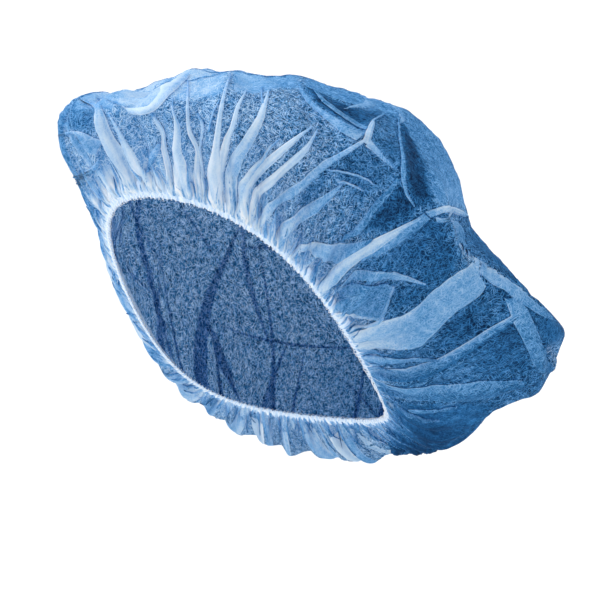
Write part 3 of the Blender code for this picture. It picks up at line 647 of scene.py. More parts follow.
def unseenTucks():
    # gathers of the hidden side: from the hem up, bending part way, wide at the hem and closing to a point.
    # Then folds: straight runs on the cloth that turn a little, widest at their middle
    rng = np.random.default_rng(unseen["seed"])
    count = unseen["gathers"]
    share = np.linspace(0, 1, tuck["along"])[None]
    spaced = np.linspace(unseen["firstDegree"], unseen["lastDegree"], count)
    start = np.radians(spaced + rng.uniform(-unseen["startUneven"], unseen["startUneven"], count))
    reach = rng.uniform(*unseen["reach"], count)[:, None]
    lean = np.radians(rng.uniform(-unseen["lean"], unseen["lean"], count))[:, None]
    turn = np.radians(rng.uniform(-unseen["turn"], unseen["turn"], count))[:, None]
    bend = rng.uniform(*unseen["bend"], count)[:, None]
    angle = start[:, None] + lean * share + turn * np.maximum(share - bend, 0)**unseen["bendPower"]
    up = unseen["lowest"] + reach * share
    closing = np.clip(unseen["closing"][0] - share, unseen["closing"][1], 1)
    fuller = unseen["fuller"][0] + unseen["fuller"][1] * share
    width = rng.uniform(*unseen["width"], count)[:, None] * closing * fuller

    lower, upper = unseen["folds"], unseen["topFolds"]
    foldAngle = np.concatenate([rng.uniform(unseen["foldsFrom"], unseen["foldsTo"], lower),
                                rng.uniform(0, 360, upper)])
    foldAngle = np.radians(foldAngle)[:, None]
    foldUp = np.concatenate([rng.uniform(*unseen["foldUp"], lower),
                             rng.uniform(*unseen["topFoldUp"], upper)])[:, None]
    folds = lower + upper
    run = rng.uniform(*unseen["foldLength"], folds)[:, None] * (share - 0.5)
    heading = rng.uniform(0, np.pi, folds)[:, None]
    heading = heading + rng.uniform(-unseen["foldCurl"], unseen["foldCurl"], folds)[:, None] * share
    middle = smoothCloth(foldAngle, foldUp)
    radius = np.maximum(np.hypot(middle[..., 0], middle[..., 1]), unseen["foldRadius"])
    foldUp = np.clip(foldUp + run * np.sin(heading) / profileLength(foldAngle), *unseen["foldsWithin"])
    foldAngle = foldAngle + run * np.cos(heading) / radius
    foldWidth = rng.uniform(*unseen["foldWidth"], folds)[:, None]
    foldWidth = foldWidth * np.maximum(np.sin(np.pi * share), unseen["foldPoint"])

    angle = np.concatenate([angle, foldAngle])
    up = np.concatenate([up, foldUp])
    width = np.concatenate([width, foldWidth])
    pale = np.concatenate([rng.uniform(*unseen["pale"], count), rng.uniform(*unseen["foldPale"], folds)])
    pale = pale[:, None] * (unseen["paleFrom"] - unseen["paleFall"] * share)
    height = np.concatenate([rng.uniform(*unseen["height"], count),
                             rng.uniform(*unseen["foldHeight"], folds)])
    return angle, up, width, pale, height


def hemTucks():
    # short tucks crowded at the hem all the way round
    rng = np.random.default_rng(tuck["seed"])
    count = tuck["fineGathers"]
    share = np.linspace(0, 1, tuck["fineAlong"])[None]
    uneven = rng.uniform(-tuck["fineUneven"], tuck["fineUneven"], count)
    start = (np.arange(count) + uneven) * 2 * np.pi / count
    length = profileLength(start)
    reach = (rng.uniform(*tuck["fineLength"], count) / length)[:, None]
    lean = np.radians(rng.normal(0, tuck["fineLean"], count))[:, None]
    angle = start[:, None] + lean * share**tuck["fineBend"]
    lowest = ((form["hemWidth"] - form["tuckedUnder"]) / length)[:, None]
    closing = np.clip(tuck["fineClosing"][0] - share, tuck["fineClosing"][1], 1)
    width = rng.uniform(*tuck["fineWidth"], count)[:, None] * closing
    crowded = tuck["fineCrowded"][0] + tuck["fineCrowded"][1] * roundTheCap(start, "crowded")
    pale = (rng.uniform(*tuck["finePale"], count) * crowded)[:, None] * (1 - tuck["finePaleFall"] * share)
    return angle, lowest + reach * share, width, pale


def ridgeLines(seen, rows, columns, height, spans):
    # centre lines of all the creases: angle, share up, half width and height at every sample. The dents of
    # the outline are lines too: places, how far they reach across the picture, and how deep they are
    middle = tuck["across"] // 2
    narrowest = crown["ridgeHalfWidth"]
    angle, up = crownGrid(crown["columns"], crown["rows"])
    ridges = []
    for row, column, half, tall in zip(rows[:, :, middle], columns[:, :, middle], spans, height):
        ridges.append((column * 2 * np.pi / crown["columns"], sampleGrid(up[..., None], row, column)[..., 0],
                       np.maximum(half * crown["seenRidge"], narrowest), np.full_like(half, tall)))
    hiddenAngle, hiddenUp, hiddenWidth, _, hiddenHeight = unseenTucks()
    for turn, rise, width, tall in zip(hiddenAngle, hiddenUp, hiddenWidth, hiddenHeight):
        ridges.append((turn, rise, np.maximum(width * crown["unseenRidge"], narrowest),
                       np.full_like(width, tall)))
    sinks = []
    smooth = smoothCloth(angle, up)
    for points, reach in dents.values():
        line = alongPoints(points, tuck["dentSamples"])
        row, column = findInPicture(seen, line[:, 0], line[:, 1])
        sinks.append((sampleGrid(smooth, row, column), reach / 1000, line[:, 2] / 1000))
    return ridges, sinks


def sampleGrid(grid, row, column):
    # a grid that closes on itself along its rows, read between its points by straight lines
    row = np.clip(row, 0, grid.shape[0] - 1.000001)
    low, left = np.floor(row).astype(int), np.floor(column).astype(int)
    tall, wide = (row - low)[..., None], (column - left)[..., None]
    left, right = left % grid.shape[1], (left + 1) % grid.shape[1]
    lower = grid[low, left] * (1 - wide) + grid[low, right] * wide
    upper = grid[low + 1, left] * (1 - wide) + grid[low + 1, right] * wide
    return lower * (1 - tall) + upper * tall


def foldField(angle, up, length, smooth, lines):
    # tallest ridge at each place, a bell of the distance along the cloth to each line's samples over its
    # half width, less what every dent sinks it, a bell of the distance in the picture
    ridges, sinks = lines
    radius = np.hypot(smooth[..., 0], smooth[..., 1])
    relief = np.zeros_like(angle)
    for line in ridges:
        for lineAngle, lineUp, half, height in np.stack(line, axis=-1)[::crown["ridgeEvery"]]:
            turn = (angle - lineAngle + np.pi) % (2 * np.pi) - np.pi
            far = ((turn * radius)**2 + ((up - lineUp) * length)**2) / half**2
            relief = np.maximum(relief, height * np.exp(-far))
    back = cameraAxes()[2]
    for places, reach, depths in sinks:
        deepest, tallest = np.zeros_like(angle), np.zeros_like(angle)
        for place, depth in zip(places, depths):
            offset = smooth - place
            along = (offset @ back)**2
            far = ((offset**2).sum(axis=-1) - along * (1 - 1 / dentStretch**2)) / reach**2
            bell = depth * np.exp(-far)
            deepest, tallest = np.maximum(deepest, bell), np.minimum(tallest, bell)
        relief -= deepest + tallest
    return relief


def crownGrid(columns, rows):
    # angle and share of the way up at each point, with rows closer together near the hem
    angle = np.tile(np.arange(columns) * 2 * np.pi / columns, (rows + 1, 1))
    lowest = (form["hemWidth"] - form["tuckedUnder"]) / profileLength(angle[0])
    step = np.linspace(0, 1, rows + 1)[:, None]
    step = crown["evenRows"] * step + crown["crowdedRows"] * step**2
    return angle, lowest + (crown["topHole"] - lowest) * step


def pull(points, shift, first, second, rest, give, onlyPush=False):
    # moves two grids of points along the lines between them until each line has its rest length
    line = points[second] - points[first]
    size = np.maximum(np.linalg.norm(line, axis=-1), 1e-9)
    change = (size - rest) / size
    if onlyPush:
        change = np.minimum(change, 0.0)
    move = line * (0.5 * give * change)[..., None]
    shift[first] += move
    shift[second] -= move


def relax(points, goal, restAround, restAlong, restCross, turns):
    # the cloth has more length than the smooth cap, so it buckles: every thread is pulled or pushed to its
    # rest length, two neighbouring threads resist folding, and a weak hold keeps the cap's form
    count = points.shape[1]
    here, beside, twoOn = np.s_[:, :count], np.s_[:, 1:count + 1], np.s_[:, 2:count + 2]
    lower, upper = np.s_[:-1, :count], np.s_[1:, :count]
    lowerBeside, upperBeside = np.s_[:-1, 1:count + 1], np.s_[1:, 1:count + 1]
    twoAround = 2 * restAround * crown["flatAround"]
    twoAlong = (restAlong[:-1] + restAlong[1:]) * crown["flatAlong"]
    give, giveCross, stiff = crown["pull"], crown["pullCross"], crown["stiffness"]
    for turn in range(turns):
        wrapped = np.concatenate([points, points[:, :2]], axis=1)
        moved = np.zeros_like(wrapped)
        pull(wrapped, moved, here, beside, restAround, give)
        pull(wrapped, moved, lower, upper, restAlong, give)
        pull(wrapped, moved, lower, upperBeside, restCross[0], giveCross)
        pull(wrapped, moved, upper, lowerBeside, restCross[1], giveCross)
        pull(wrapped, moved, here, twoOn, twoAround, stiff, True)
        pull(wrapped, moved, np.s_[:-2, :count], np.s_[2:, :count], twoAlong, stiff, True)
        shift = moved[:, :count]
        shift[:, :2] += moved[:, count:]
        shift += crown["hold"] * (goal - points)
        shift[0] = 0
        points = points + shift
    return points


def startingWaves(angle, high, phases):
    # small gathers that the cloth buckles along: each a cosine round the cap that wanders by a sine, times
    # a bell of the length of cloth above the seam
    warped = wavy(angle, angle, crown["warp"], phases)
    total = np.zeros_like(high)
    for wave, phase in zip(crown["waves"], phases[len(crown["warp"]):]):
        count, wander, wanders, slant, height, middle, reach, start, over = wave
        ripple = np.cos(count * warped + wander * np.sin(wanders * angle + phase) + high / slant)
        bell = np.exp(-((high - middle) / reach)**2)
        total += height * ripple * bell * np.clip((high - start) / over, 0, 1)
    return total


def relaxCrown(lines):
    # three grids, each twice as fine as the one before: broad crumples settle first, then the gathers
    rng = np.random.default_rng(crown["seed"])
    phases = rng.uniform(0, 2 * np.pi, crown["phases"])
    size = crown["coarsest"]
    points = None
    while size >= 1:
        columns, rows = crown["columns"] // size, crown["rows"] // size
        angle, up = crownGrid(columns, rows)
        length = profileLength(angle[0])
        smooth = smoothCloth(angle, up)
        normal = gridNormals(smooth)
        high = (up - up[0]) * length                            # cloth length above the seam
        relief = foldField(angle, up, length, smooth, lines) * np.clip(high / crown["ridgesOver"], 0, 1)
        goal = smooth + normal * (relief + startingWaves(angle, high, phases))[..., None]
        uneven = rng.standard_normal(angle.shape)
        if points is None:
            points = goal + normal * (crown["coarseUneven"] * uneven)[..., None]
        else:
            uneven = crown["fineUneven"] * uneven * np.clip(high / crown["unevenOver"], 0, 1)
            points = finer(points, rows, columns) + normal * uneven[..., None]
        points[0] = goal[0]
        spare = crown["spare"] + crown["spareAtHem"] * np.exp(-high / crown["spareOver"])
        beside = np.roll(smooth, -1, axis=1)
        around = np.linalg.norm(beside - smooth, axis=-1) * spare
        along = np.linalg.norm(np.diff(smooth, axis=0), axis=-1) * crown["spareUp"]
        spareCross = spare[:-1] * 0.5 + crown["spareUp"] * 0.5
        cross = (np.linalg.norm(beside[1:] - smooth[:-1], axis=-1) * spareCross,
                 np.linalg.norm(beside[:-1] - smooth[1:], axis=-1) * spareCross)
        points = relax(points, goal, around, along, cross, crown["turns"][size])
        print("cloth relaxed on", columns, "by", rows)
        size //= 2
    # the gathers grow out of the hem: the lowest cloth starts in it and swells over its upper half
    free = np.clip((high - crown["freeFrom"]) / crown["freeOver"], 0, 1)[..., None]
    swell = crown["swell"] * np.clip(high / crown["swellOver"], 0, 1)[..., None]
    points = (smooth + normal * (swell - crown["seamSunk"])) * (1 - free) + points * free
    return angle, up, smooth, high, points


def finer(points, rows, columns):
    # the same cloth on a grid twice as fine, by straight lines between the old points
    oldRows, oldColumns = points.shape[0] - 1, points.shape[1]
    row = np.linspace(0, oldRows, rows + 1)
    low = np.minimum(np.floor(row).astype(int), oldRows - 1)
    part = (row - low)[:, None, None]
    tall = points[low] * (1 - part) + points[low + 1] * part
    column = np.arange(columns) * oldColumns / columns
    left = np.floor(column).astype(int)
    part = (column - left)[None, :, None]
    return tall[:, left] * (1 - part) + tall[:, (left + 1) % oldColumns] * part


def gridMesh(name, points, closeTop=False):
    # quads between neighbouring rows of points, each row closed on itself, and a fan to a top point
    rows, columns = points.shape[:2]
    corner = np.arange(rows * columns).reshape(rows, columns)
    beside = np.roll(corner, -1, axis=1)
    quads = np.stack([corner[:-1], beside[:-1], beside[1:], corner[1:]], axis=-1).reshape(-1, 4)
    vertices = points.reshape(-1, 3).tolist()
    faces = quads.tolist()
    if closeTop:
        faces += [[a, b, len(vertices)] for a, b in zip(corner[-1].tolist(), beside[-1].tolist())]
        vertices.append(points[-1].mean(axis=0).tolist())
    return newPiece(name, vertices, faces)


def newPiece(name, vertices, faces):
    # a smooth-shaded object of its own mesh, at the origin
    mesh = bpy.data.meshes.new(name)
    mesh.from_pydata(vertices, [], faces)
    mesh.shade_smooth()
    piece = bpy.data.objects.new(name, mesh)
    bpy.context.scene.collection.objects.link(piece)
    return piece


def stripsMesh(name, stacks):
    # open grids side by side in one mesh: each stack is strips by samples along by samples across
    vertices, faces, start = [], [], 0
    for stack in stacks:
        count, along, across = stack.shape[:3]
        corner = start + np.arange(count * along * across).reshape(count, along, across)
        quads = np.stack([corner[:, :-1, :-1], corner[:, :-1, 1:], corner[:, 1:, 1:], corner[:, 1:, :-1]],
                         axis=-1)
        faces += quads.reshape(-1, 4).tolist()
        vertices += stack.reshape(-1, 3).tolist()
        start += count * along * across
    return newPiece(name, vertices, faces)


def paint(piece, name, values):
    # one number or vector for each vertex, read by the material; a top point takes the last one
    vector = values.shape[-1] == 3 and values.ndim > 1
    layer = piece.data.attributes.new(name, "FLOAT_VECTOR" if vector else "FLOAT", "POINT")
    rows = values.reshape(-1, 3 if vector else 1)
    full = np.concatenate([rows, np.tile(rows[-1:], (len(piece.data.vertices) - len(rows), 1))])
    layer.data.foreach_set("vector" if vector else "value", full.astype(np.float32).ravel())


def flatPlaces(angle, up, high):
    # where each point lies on the flat disc before it is gathered, and in the gathers: along the hem,
    # up from it, and how crowded it is there
    fromTop = (1 - up) * profileLength(angle[0])
    flat = np.stack([fromTop * np.cos(angle), fromTop * np.sin(angle), 0 * angle], axis=-1)
    crowd = roundTheCap(angle, "crowded") * np.exp(-high / crown["crowdOver"])
    radius = crown["hemRadius"]
    return flat, np.stack([np.cos(angle) * radius, np.sin(angle) * radius, crowd], axis=-1)


def linear(hexColour):
    # sRGB hex to linear light
    channels = np.array([int(hexColour[i:i + 2], 16) / 255 for i in (1, 3, 5)])
    value = np.where(channels <= 0.04045, channels / 12.92, ((channels + 0.055) / 1.055) ** 2.4)
    return (*value, 1.0)


def addNode(tree, kind, settings=None, **inputs):
    # one node: settings are its own properties, inputs are sockets by name, or by number as i0, i1 and so
    # on, given a value or a link
    node = tree.nodes.new(kind)
    for name, value in (settings or {}).items():
        setattr(node, name, value)
    for name, value in inputs.items():
        numbered = name[0] == "i" and name[1:].isdigit()
        socket = node.inputs[int(name[1:]) if numbered else name.replace("_", " ")]
        if isinstance(value, bpy.types.NodeSocket):
            tree.links.new(value, socket)
        else:
            socket.default_value = value
    return node


def newMaterial(name, roughness):
    # a material with its node tree and its shader
    material = bpy.data.materials.new(name)
    material.use_nodes = True
    shader = material.node_tree.nodes["Principled BSDF"]
    shader.inputs["Roughness"].default_value = roughness
    return material, material.node_tree, shader


nonwoven = {
    # colours of the cloth by how doubled it is, from the shade between the fibres of one layer to many
    "tones": ("#0a2039", "#1b4b7a", "#3a82bf", "#79b1e3", "#c6dff4", "#f4f9fe"),
    # how strongly the fibres show at the same six steps
    "fibresShow": (0.26, 0.42, 0.74, 0.38, 0.12, 0.08),
    "fibreWidth": 0.00052,      # real fibres are 0.02 mm wide: drawn as bundles of 0.5 mm so that they show
    "fibreLength": 0.0064,
    "laidAt": (0.2, 0.9, 1.5, 2.1, 2.8),    # radians: five webs of fibres, one over the other
    "webShift": 0.3,            # metres between the places on the pattern that the webs are taken from
    "fibreFrom": 0.54, "fibreTo": 0.72,     # noise that turns from gap to fibre
    "blotches": 70.0, "blotchDepth": 0.16,  # clouds of thicker cloth about 14 mm wide
    "gatherLines": 620.0,       # fine gathers about 1.6 mm wide
    "gatherStretch": 0.004,     # how little they change as they run up from the hem
    "gatherContrast": 1.5,
    "lightThrough": 0.30,       # share of the light that comes through the cloth
    "bump": 0.35, "bumpHeight": 0.0003,
    "roughness": 0.70,
    "shine": 0.03,              # loose fibres scatter most of the gloss
}
# settings of the nodes that work with numbers
operations = ("MAXIMUM", "MULTIPLY", "MULTIPLY_ADD", "SUBTRACT")
most, times, timesPlus, less = ({"operation": name} for name in operations)


def setStops(ramp, colours):
    # evenly spaced stops of a colour ramp
    stops = ramp.color_ramp.elements
    stops[0].color, stops[1].color = colours[0], colours[-1]
    for index, colour in enumerate(colours[1:-1], start=1):
        stops.new(index / (len(colours) - 1)).color = colour


def makeNonwoven():
    # spunbond polypropylene: fibres laid at random and bonded, so pale threads over a darker film that let
    # less through where the cloth is doubled. How doubled it is comes from each piece's layers attribute
    material, tree, shader = newMaterial("spunbondPolypropylene", nonwoven["roughness"])
    layers = addNode(tree, "ShaderNodeAttribute", {"attribute_name": "layers"}).outputs["Fac"]
    clear = addNode(tree, "ShaderNodeAttribute", {"attribute_name": "clear"}).outputs["Fac"]
    flat = addNode(tree, "ShaderNodeAttribute", {"attribute_name": "flat"}).outputs["Vector"]
    gathered = addNode(tree, "ShaderNodeAttribute", {"attribute_name": "gathered"}).outputs["Vector"]
    fibres = None
    size = (nonwoven["fibreWidth"], nonwoven["fibreLength"], 1.0)
    for index, turn in enumerate(nonwoven["laidAt"]):
        place = (index * nonwoven["webShift"], 0.0, 0.0)
        laid = addNode(tree, "ShaderNodeMapping", {"vector_type": "TEXTURE"}, Vector=flat,
                       Location=place, Rotation=(0.0, 0.0, turn), Scale=size)
        web = addNode(tree, "ShaderNodeTexNoise", {"noise_dimensions": "2D"}, Vector=laid.outputs[0],
                      Scale=1.0, Detail=1.0, Roughness=0.5, Distortion=0.3).outputs[0]
        if fibres is not None:
            web = addNode(tree, "ShaderNodeMath", most, i0=fibres, i1=web).outputs[0]
        fibres = web
    shown = addNode(tree, "ShaderNodeMapRange", Value=fibres, From_Min=nonwoven["fibreFrom"],
                    From_Max=nonwoven["fibreTo"], To_Min=-0.5, To_Max=0.5).outputs[0]
    blotch = addNode(tree, "ShaderNodeTexNoise", {"noise_dimensions": "2D"}, Vector=flat,
                     Scale=nonwoven["blotches"], Detail=3.0, Roughness=0.6).outputs[0]
    # fine gathers at the hem: paler and darker lines that run up from it and fade
    crowd = addNode(tree, "ShaderNodeSeparateXYZ", Vector=gathered).outputs[2]
    stretch = (1.0, 1.0, nonwoven["gatherStretch"])
    hemwise = addNode(tree, "ShaderNodeMapping", Vector=gathered, Scale=stretch)
    lines = addNode(tree, "ShaderNodeTexNoise", Vector=hemwise.outputs[0], Scale=nonwoven["gatherLines"],
                    Detail=2.0, Roughness=0.6).outputs[0]
    uneven = addNode(tree, "ShaderNodeMath", less, i0=lines, i1=0.5).outputs[0]
    strong = addNode(tree, "ShaderNodeMath", times, i0=crowd, i1=nonwoven["gatherContrast"]).outputs[0]
    layers = addNode(tree, "ShaderNodeMath", timesPlus, i0=uneven, i1=strong, i2=layers).outputs[0]
    # fibres where they show, then the clouds, then the colour for how doubled it all is
    strength = addNode(tree, "ShaderNodeValToRGB", Fac=layers)
    setStops(strength, [(value, value, value, 1.0) for value in nonwoven["fibresShow"]])
    strength = addNode(tree, "ShaderNodeMath", times, i0=strength.outputs[0], i1=clear).outputs[0]
    fibred = addNode(tree, "ShaderNodeMath", timesPlus, i0=shown, i1=strength, i2=layers).outputs[0]
    level = addNode(tree, "ShaderNodeMath", less, i0=blotch, i1=0.5).outputs[0]
    cloudy = addNode(tree, "ShaderNodeMath", timesPlus, i0=level, i1=nonwoven["blotchDepth"], i2=fibred)
    ramp = addNode(tree, "ShaderNodeValToRGB", Fac=cloudy.outputs[0])
    setStops(ramp, [linear(colour) for colour in nonwoven["tones"]])
    bump = addNode(tree, "ShaderNodeBump", Strength=nonwoven["bump"], Distance=nonwoven["bumpHeight"],
                   Height=fibres)
    shader.inputs["Specular IOR Level"].default_value = nonwoven["shine"]
    tree.links.new(ramp.outputs[0], shader.inputs["Base Color"])
    tree.links.new(bump.outputs[0], shader.inputs["Normal"])
    through = addNode(tree, "ShaderNodeBsdfTranslucent", Color=ramp.outputs[0])
    both = addNode(tree, "ShaderNodeMixShader", i0=nonwoven["lightThrough"], i1=shader.outputs[0],
                   i2=through.outputs[0])
    tree.links.new(both.outputs[0], tree.nodes["Material Output"].inputs["Surface"])
    return material


def makeCrown(cloth, seen, angle, up, smooth, high, points):
    piece = gridMesh("crown_cloth", points, closeTop=True)
    bend = np.linalg.norm(2 * points - np.roll(points, 1, axis=1) - np.roll(points, -1, axis=1), axis=-1)
    reach = np.linalg.norm(acrossNeighbours(points), axis=-1)
    bend = np.clip(bend / np.maximum(reach, 1e-5) * crown["bendGain"] - crown["bendFrom"], 0, 1)
    steep = 1 - np.abs((gridNormals(points) * gridNormals(smooth)).sum(axis=-1))
    first, second = crown["crowdWaves"]
    uneven = 1.0 + crown["crowdUneven"] * np.cos(first * angle) * np.cos(second * angle)
    crowd = roundTheCap(angle, "crowded") * uneven
    # the single cloth's tone round the cap, then the patches: both partly painted light and shade
    layers, clear = paintPatches(seen, roundTheCap(angle, "pale"))
    layers = layers + crown["bendPaler"] * bend + crown["steepPaler"] * steep
    fading = np.exp(-(high / crown["hemPaleOver"])**crown["hemPaleFall"])
    layers = np.clip(layers + (1 - layers) * crown["hemPaler"] * crowd * fading, 0, 1)
    paint(piece, "layers", layers)
    paint(piece, "clear", clear)
    flat, gathered = flatPlaces(angle, up, high)
    paint(piece, "flat", flat)
    paint(piece, "gathered", gathered)
    piece.data.materials.append(cloth)
    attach(piece, "root")
    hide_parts("crown_front", "crown_left", "crown_back", "crown_right", "crown_top")
    return piece


def layOn(points, outward, row, column, high):
    # strips on the cloth: lifted a little, rounded over towards their two edges
    side = np.linspace(-1, 1, row.shape[-1])
    lift = high * (tuck["edgeLift"] + (1 - tuck["edgeLift"]) * (1 - side**4))
    return sampleGrid(points, row, column) + sampleGrid(outward, row, column) * lift[:, None]


def tone(pale, row):
    # how doubled each sample is: a little paler on the two folded edges, with lesser pleats between them
    count, along, across = row.shape
    rng = np.random.default_rng(count)
    side = np.linspace(-1, 1, across)[None, None]
    share = np.linspace(0, 1, along)[None, :, None]
    edge = np.clip((np.abs(side) - tuck["edge"]) / (1 - tuck["edge"]), 0, 1)
    names = ("pleats", "pleatSlant", "pleatPlace")
    pleats, slant, place = (rng.uniform(*tuck[name], (count, 1, 1)) for name in names)
    pleat = np.cos(pleats * side + slant * share + place)
    level = pale if pale.ndim > 2 else pale[:, :, None]
    level = level * (tuck["level"] + tuck["pleatDepth"] * pleat - tuck["firstEdgePaler"] * side)
    return np.clip(level + tuck["edgePaler"] * edge, 0, 1)


def makeTucks(cloth, angle, up, smooth, high, points, seenRow, seenColumn, seenPale):
    flat, gathered = flatPlaces(angle, up, high)
    outward = unit(gridNormals(points) + gridNormals(smooth))
    planAngle, planUp, planWidth, planPale, _ = unseenTucks()
    planRow, planColumn = planTucks(planAngle, planUp, planWidth, tuck["across"])
    hemAngle, hemUp, hemWide, hemPale = hemTucks()
    hemRow, hemColumn = planTucks(hemAngle, hemUp, hemWide, tuck["fineAcross"])
    stacks, tones, flats, gathers = [], [], [], []
    for row, column, pale, lift in ((seenRow, seenColumn, seenPale, tuck["lift"]),
                                    (planRow, planColumn, planPale, tuck["lift"] / tuck["unseenLower"]),
                                    (hemRow, hemColumn, hemPale, tuck["lift"])):
        stacks.append(layOn(points, outward, row, column, lift))
        tones.append(tone(pale, row).ravel())
        flats.append(sampleGrid(flat, row, column).reshape(-1, 3))
        gathers.append(sampleGrid(gathered, row, column).reshape(-1, 3))
    piece = stripsMesh("crown_tucks", stacks)
    paint(piece, "layers", np.concatenate(tones))
    paint(piece, "clear", np.full(len(piece.data.vertices), tuck["clear"]))
    paint(piece, "flat", np.concatenate(flats))
    paint(piece, "gathered", np.concatenate(gathers))
    piece.data.materials.append(cloth)
    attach(piece, "root")
    return piece


hem = {
    "columns": 1380, "rows": 12,
    "ribs": 150, "fineRibs": 255,       # fine gathers of the hem
    "ribShares": (0.6, 0.4),            # how much each of them counts
    "ribHeight": 0.00055,
    "warp": [(0.014, 13), (0.010, 29)],     # radians that the ribs wander, and how often round the hem
    "slant": (1.4, 1.6), "slantWaves": 9,   # radians that they lean across the hem, and how that varies
    "strength": (0.65, 0.35), "strengthWaves": (23, 41),
    "scallop": 0.0008,          # how far the lower edge wanders between ribs
    "bulge": 0.0010, "bulgePower": 0.7,     # elastic inside the fold
    "drawnIn": 0.0012,          # how far the upper edge dips under the gathers
    "dipFrom": 0.62, "dipOver": 0.38, "dipPower": 1.5,
    "wall": 0.0006,
    # the shade colour is painted shade in the grooves between ribs, and the darker spots of the grain
    "cloth": "#e3eefa", "shade": "#9cc0e6",
    "grain": 900.0, "grainShade": 0.5,      # spots about 1 mm wide
    "shadeFrom": 0.2, "shadeTo": 1.2,
    "bump": 0.3, "bumpHeight": 0.0003,
    "sheen": 0.2,
    "roughness": 0.75,
    "seed": 11,
}


def makeHemCloth():
    # folded nonwoven over elastic: many layers, so nearly white, with painted shade in the grooves between
    # ribs
    material, tree, shader = newMaterial("gatheredNonwovenHem", hem["roughness"])
    coords = addNode(tree, "ShaderNodeTexCoord").outputs["Object"]
    grooveShade = addNode(tree, "ShaderNodeAttribute", {"attribute_name": "grooveShade"}).outputs["Fac"]
    grain = addNode(tree, "ShaderNodeTexNoise", Vector=coords, Scale=hem["grain"], Detail=3.0,
                    Roughness=0.6).outputs[0]
    level = addNode(tree, "ShaderNodeMath", timesPlus, i0=grain, i1=hem["grainShade"], i2=grooveShade)
    reach = addNode(tree, "ShaderNodeMapRange", Value=level.outputs[0], From_Min=hem["shadeFrom"],
                    From_Max=hem["shadeTo"], To_Min=0.0, To_Max=1.0)
    colour = addNode(tree, "ShaderNodeMix", {"data_type": "RGBA"}, Factor=reach.outputs[0])
    colour.inputs["A"].default_value = linear(hem["cloth"])
    colour.inputs["B"].default_value = linear(hem["shade"])
    bump = addNode(tree, "ShaderNodeBump", Strength=hem["bump"], Distance=hem["bumpHeight"], Height=grain)
    shader.inputs["Sheen Weight"].default_value = hem["sheen"]
    tree.links.new(colour.outputs["Result"], shader.inputs["Base Color"])
    tree.links.new(bump.outputs[0], shader.inputs["Normal"])
    return material


def makeHem():
    # strip from the lower edge to the seam, ribbed across and a little fuller along its middle
    rng = np.random.default_rng(hem["seed"])
    phases = rng.uniform(0, 2 * np.pi, 6)
    angle = np.tile(np.arange(hem["columns"]) * 2 * np.pi / hem["columns"], (hem["rows"] + 1, 1))
    length = profileLength(angle[0])
    share = np.linspace(0, 1, hem["rows"] + 1)[:, None]
    warp = wavy(angle, angle, hem["warp"], phases)
    slant = share * (hem["slant"][0] + hem["slant"][1] * np.sin(hem["slantWaves"] * angle + phases[4]))
    first, second = hem["ribShares"]
    rib = (first * np.cos(hem["ribs"] * warp + slant)
           + second * np.cos(hem["fineRibs"] * warp - 2 * slant + phases[5]))
    broad, close = hem["strengthWaves"]
    strength = hem["strength"][0] + (hem["strength"][1] * np.sin(broad * angle + phases[3])
                                     * np.sin(close * angle + phases[1]))
    edge = first * np.cos(hem["ribs"] / 2 * warp + phases[4]) + second * rib
    edge = hem["scallop"] * edge * (1 - share)**2
    smooth = smoothCloth(angle, form["hemWidth"] / length * share)
    relief = hem["ribHeight"] * rib * strength + hem["bulge"] * np.sin(np.pi * share)**hem["bulgePower"]
    dip = np.clip((share - hem["dipFrom"]) / hem["dipOver"], 0, 1)**hem["dipPower"]
    relief = relief - hem["drawnIn"] * dip
    along = unit(np.gradient(smooth, axis=0))
    points = smooth + gridNormals(smooth) * relief[..., None] + along * edge[..., None]
    piece = gridMesh("elastic_hem", points)
    # painted shade: the colour turns towards the shade colour where the ribs sink
    paint(piece, "grooveShade", np.clip(0.5 - 0.5 * rib * strength, 0, 1))
    piece.data.materials.append(makeHemCloth())
    wall = piece.modifiers.new("wall", "SOLIDIFY")
    wall.thickness = hem["wall"]
    wall.offset = 0.0
    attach(piece, "root")
    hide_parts("elastic_band")
    return piece


overlock = {
    "loops": 230,               # stitches round the hem, about 2.4 mm apart
    "samples": 14,              # along each stitch
    "sides": 6,
    "thread": 0.00022,          # radius: sewing thread is 0.25 mm thick, drawn at 0.44 mm so that it shows
    "reach": 0.0026,            # how far up the hem the stitches run
    "overhang": 0.0007,         # how far the loops stand past the edge
    "uneven": [(0.25, 37), (0.15, 83)],     # share that their height varies by, and how often
    "stand": 0.0013,            # how far the thread swings to either side of the hem
    "outside": 0.0003,          # how much further out all of it lies
    "upShare": 0.01,            # share of the way up where the hem's direction is read
    "colour": "#f7fafd", "shade": "#c9d8e8",
    "stops": (0.3, 0.6),        # noise that turns from shade to colour
    "twist": 1500.0,            # turns of the thread about 0.7 mm long
    "bump": 0.3, "bumpHeight": 0.0002,
    "roughness": 0.55,
    "seed": 17,
}


def makeThread():
    # polyester sewing thread: white, slightly shiny, twisted
    material, tree, shader = newMaterial("polyesterThread", overlock["roughness"])
    coords = addNode(tree, "ShaderNodeTexCoord").outputs["Object"]
    twist = addNode(tree, "ShaderNodeTexNoise", Vector=coords, Scale=overlock["twist"],
                    Detail=2.0).outputs[0]
    ramp = addNode(tree, "ShaderNodeValToRGB", Fac=twist)
    colours = (overlock["shade"], overlock["colour"])
    for stop, place, colour in zip(ramp.color_ramp.elements, overlock["stops"], colours):
        stop.position = place
        stop.color = linear(colour)
    bump = addNode(tree, "ShaderNodeBump", Strength=overlock["bump"], Distance=overlock["bumpHeight"],
                   Height=twist)
    tree.links.new(ramp.outputs[0], shader.inputs["Base Color"])
    tree.links.new(bump.outputs[0], shader.inputs["Normal"])
    return material


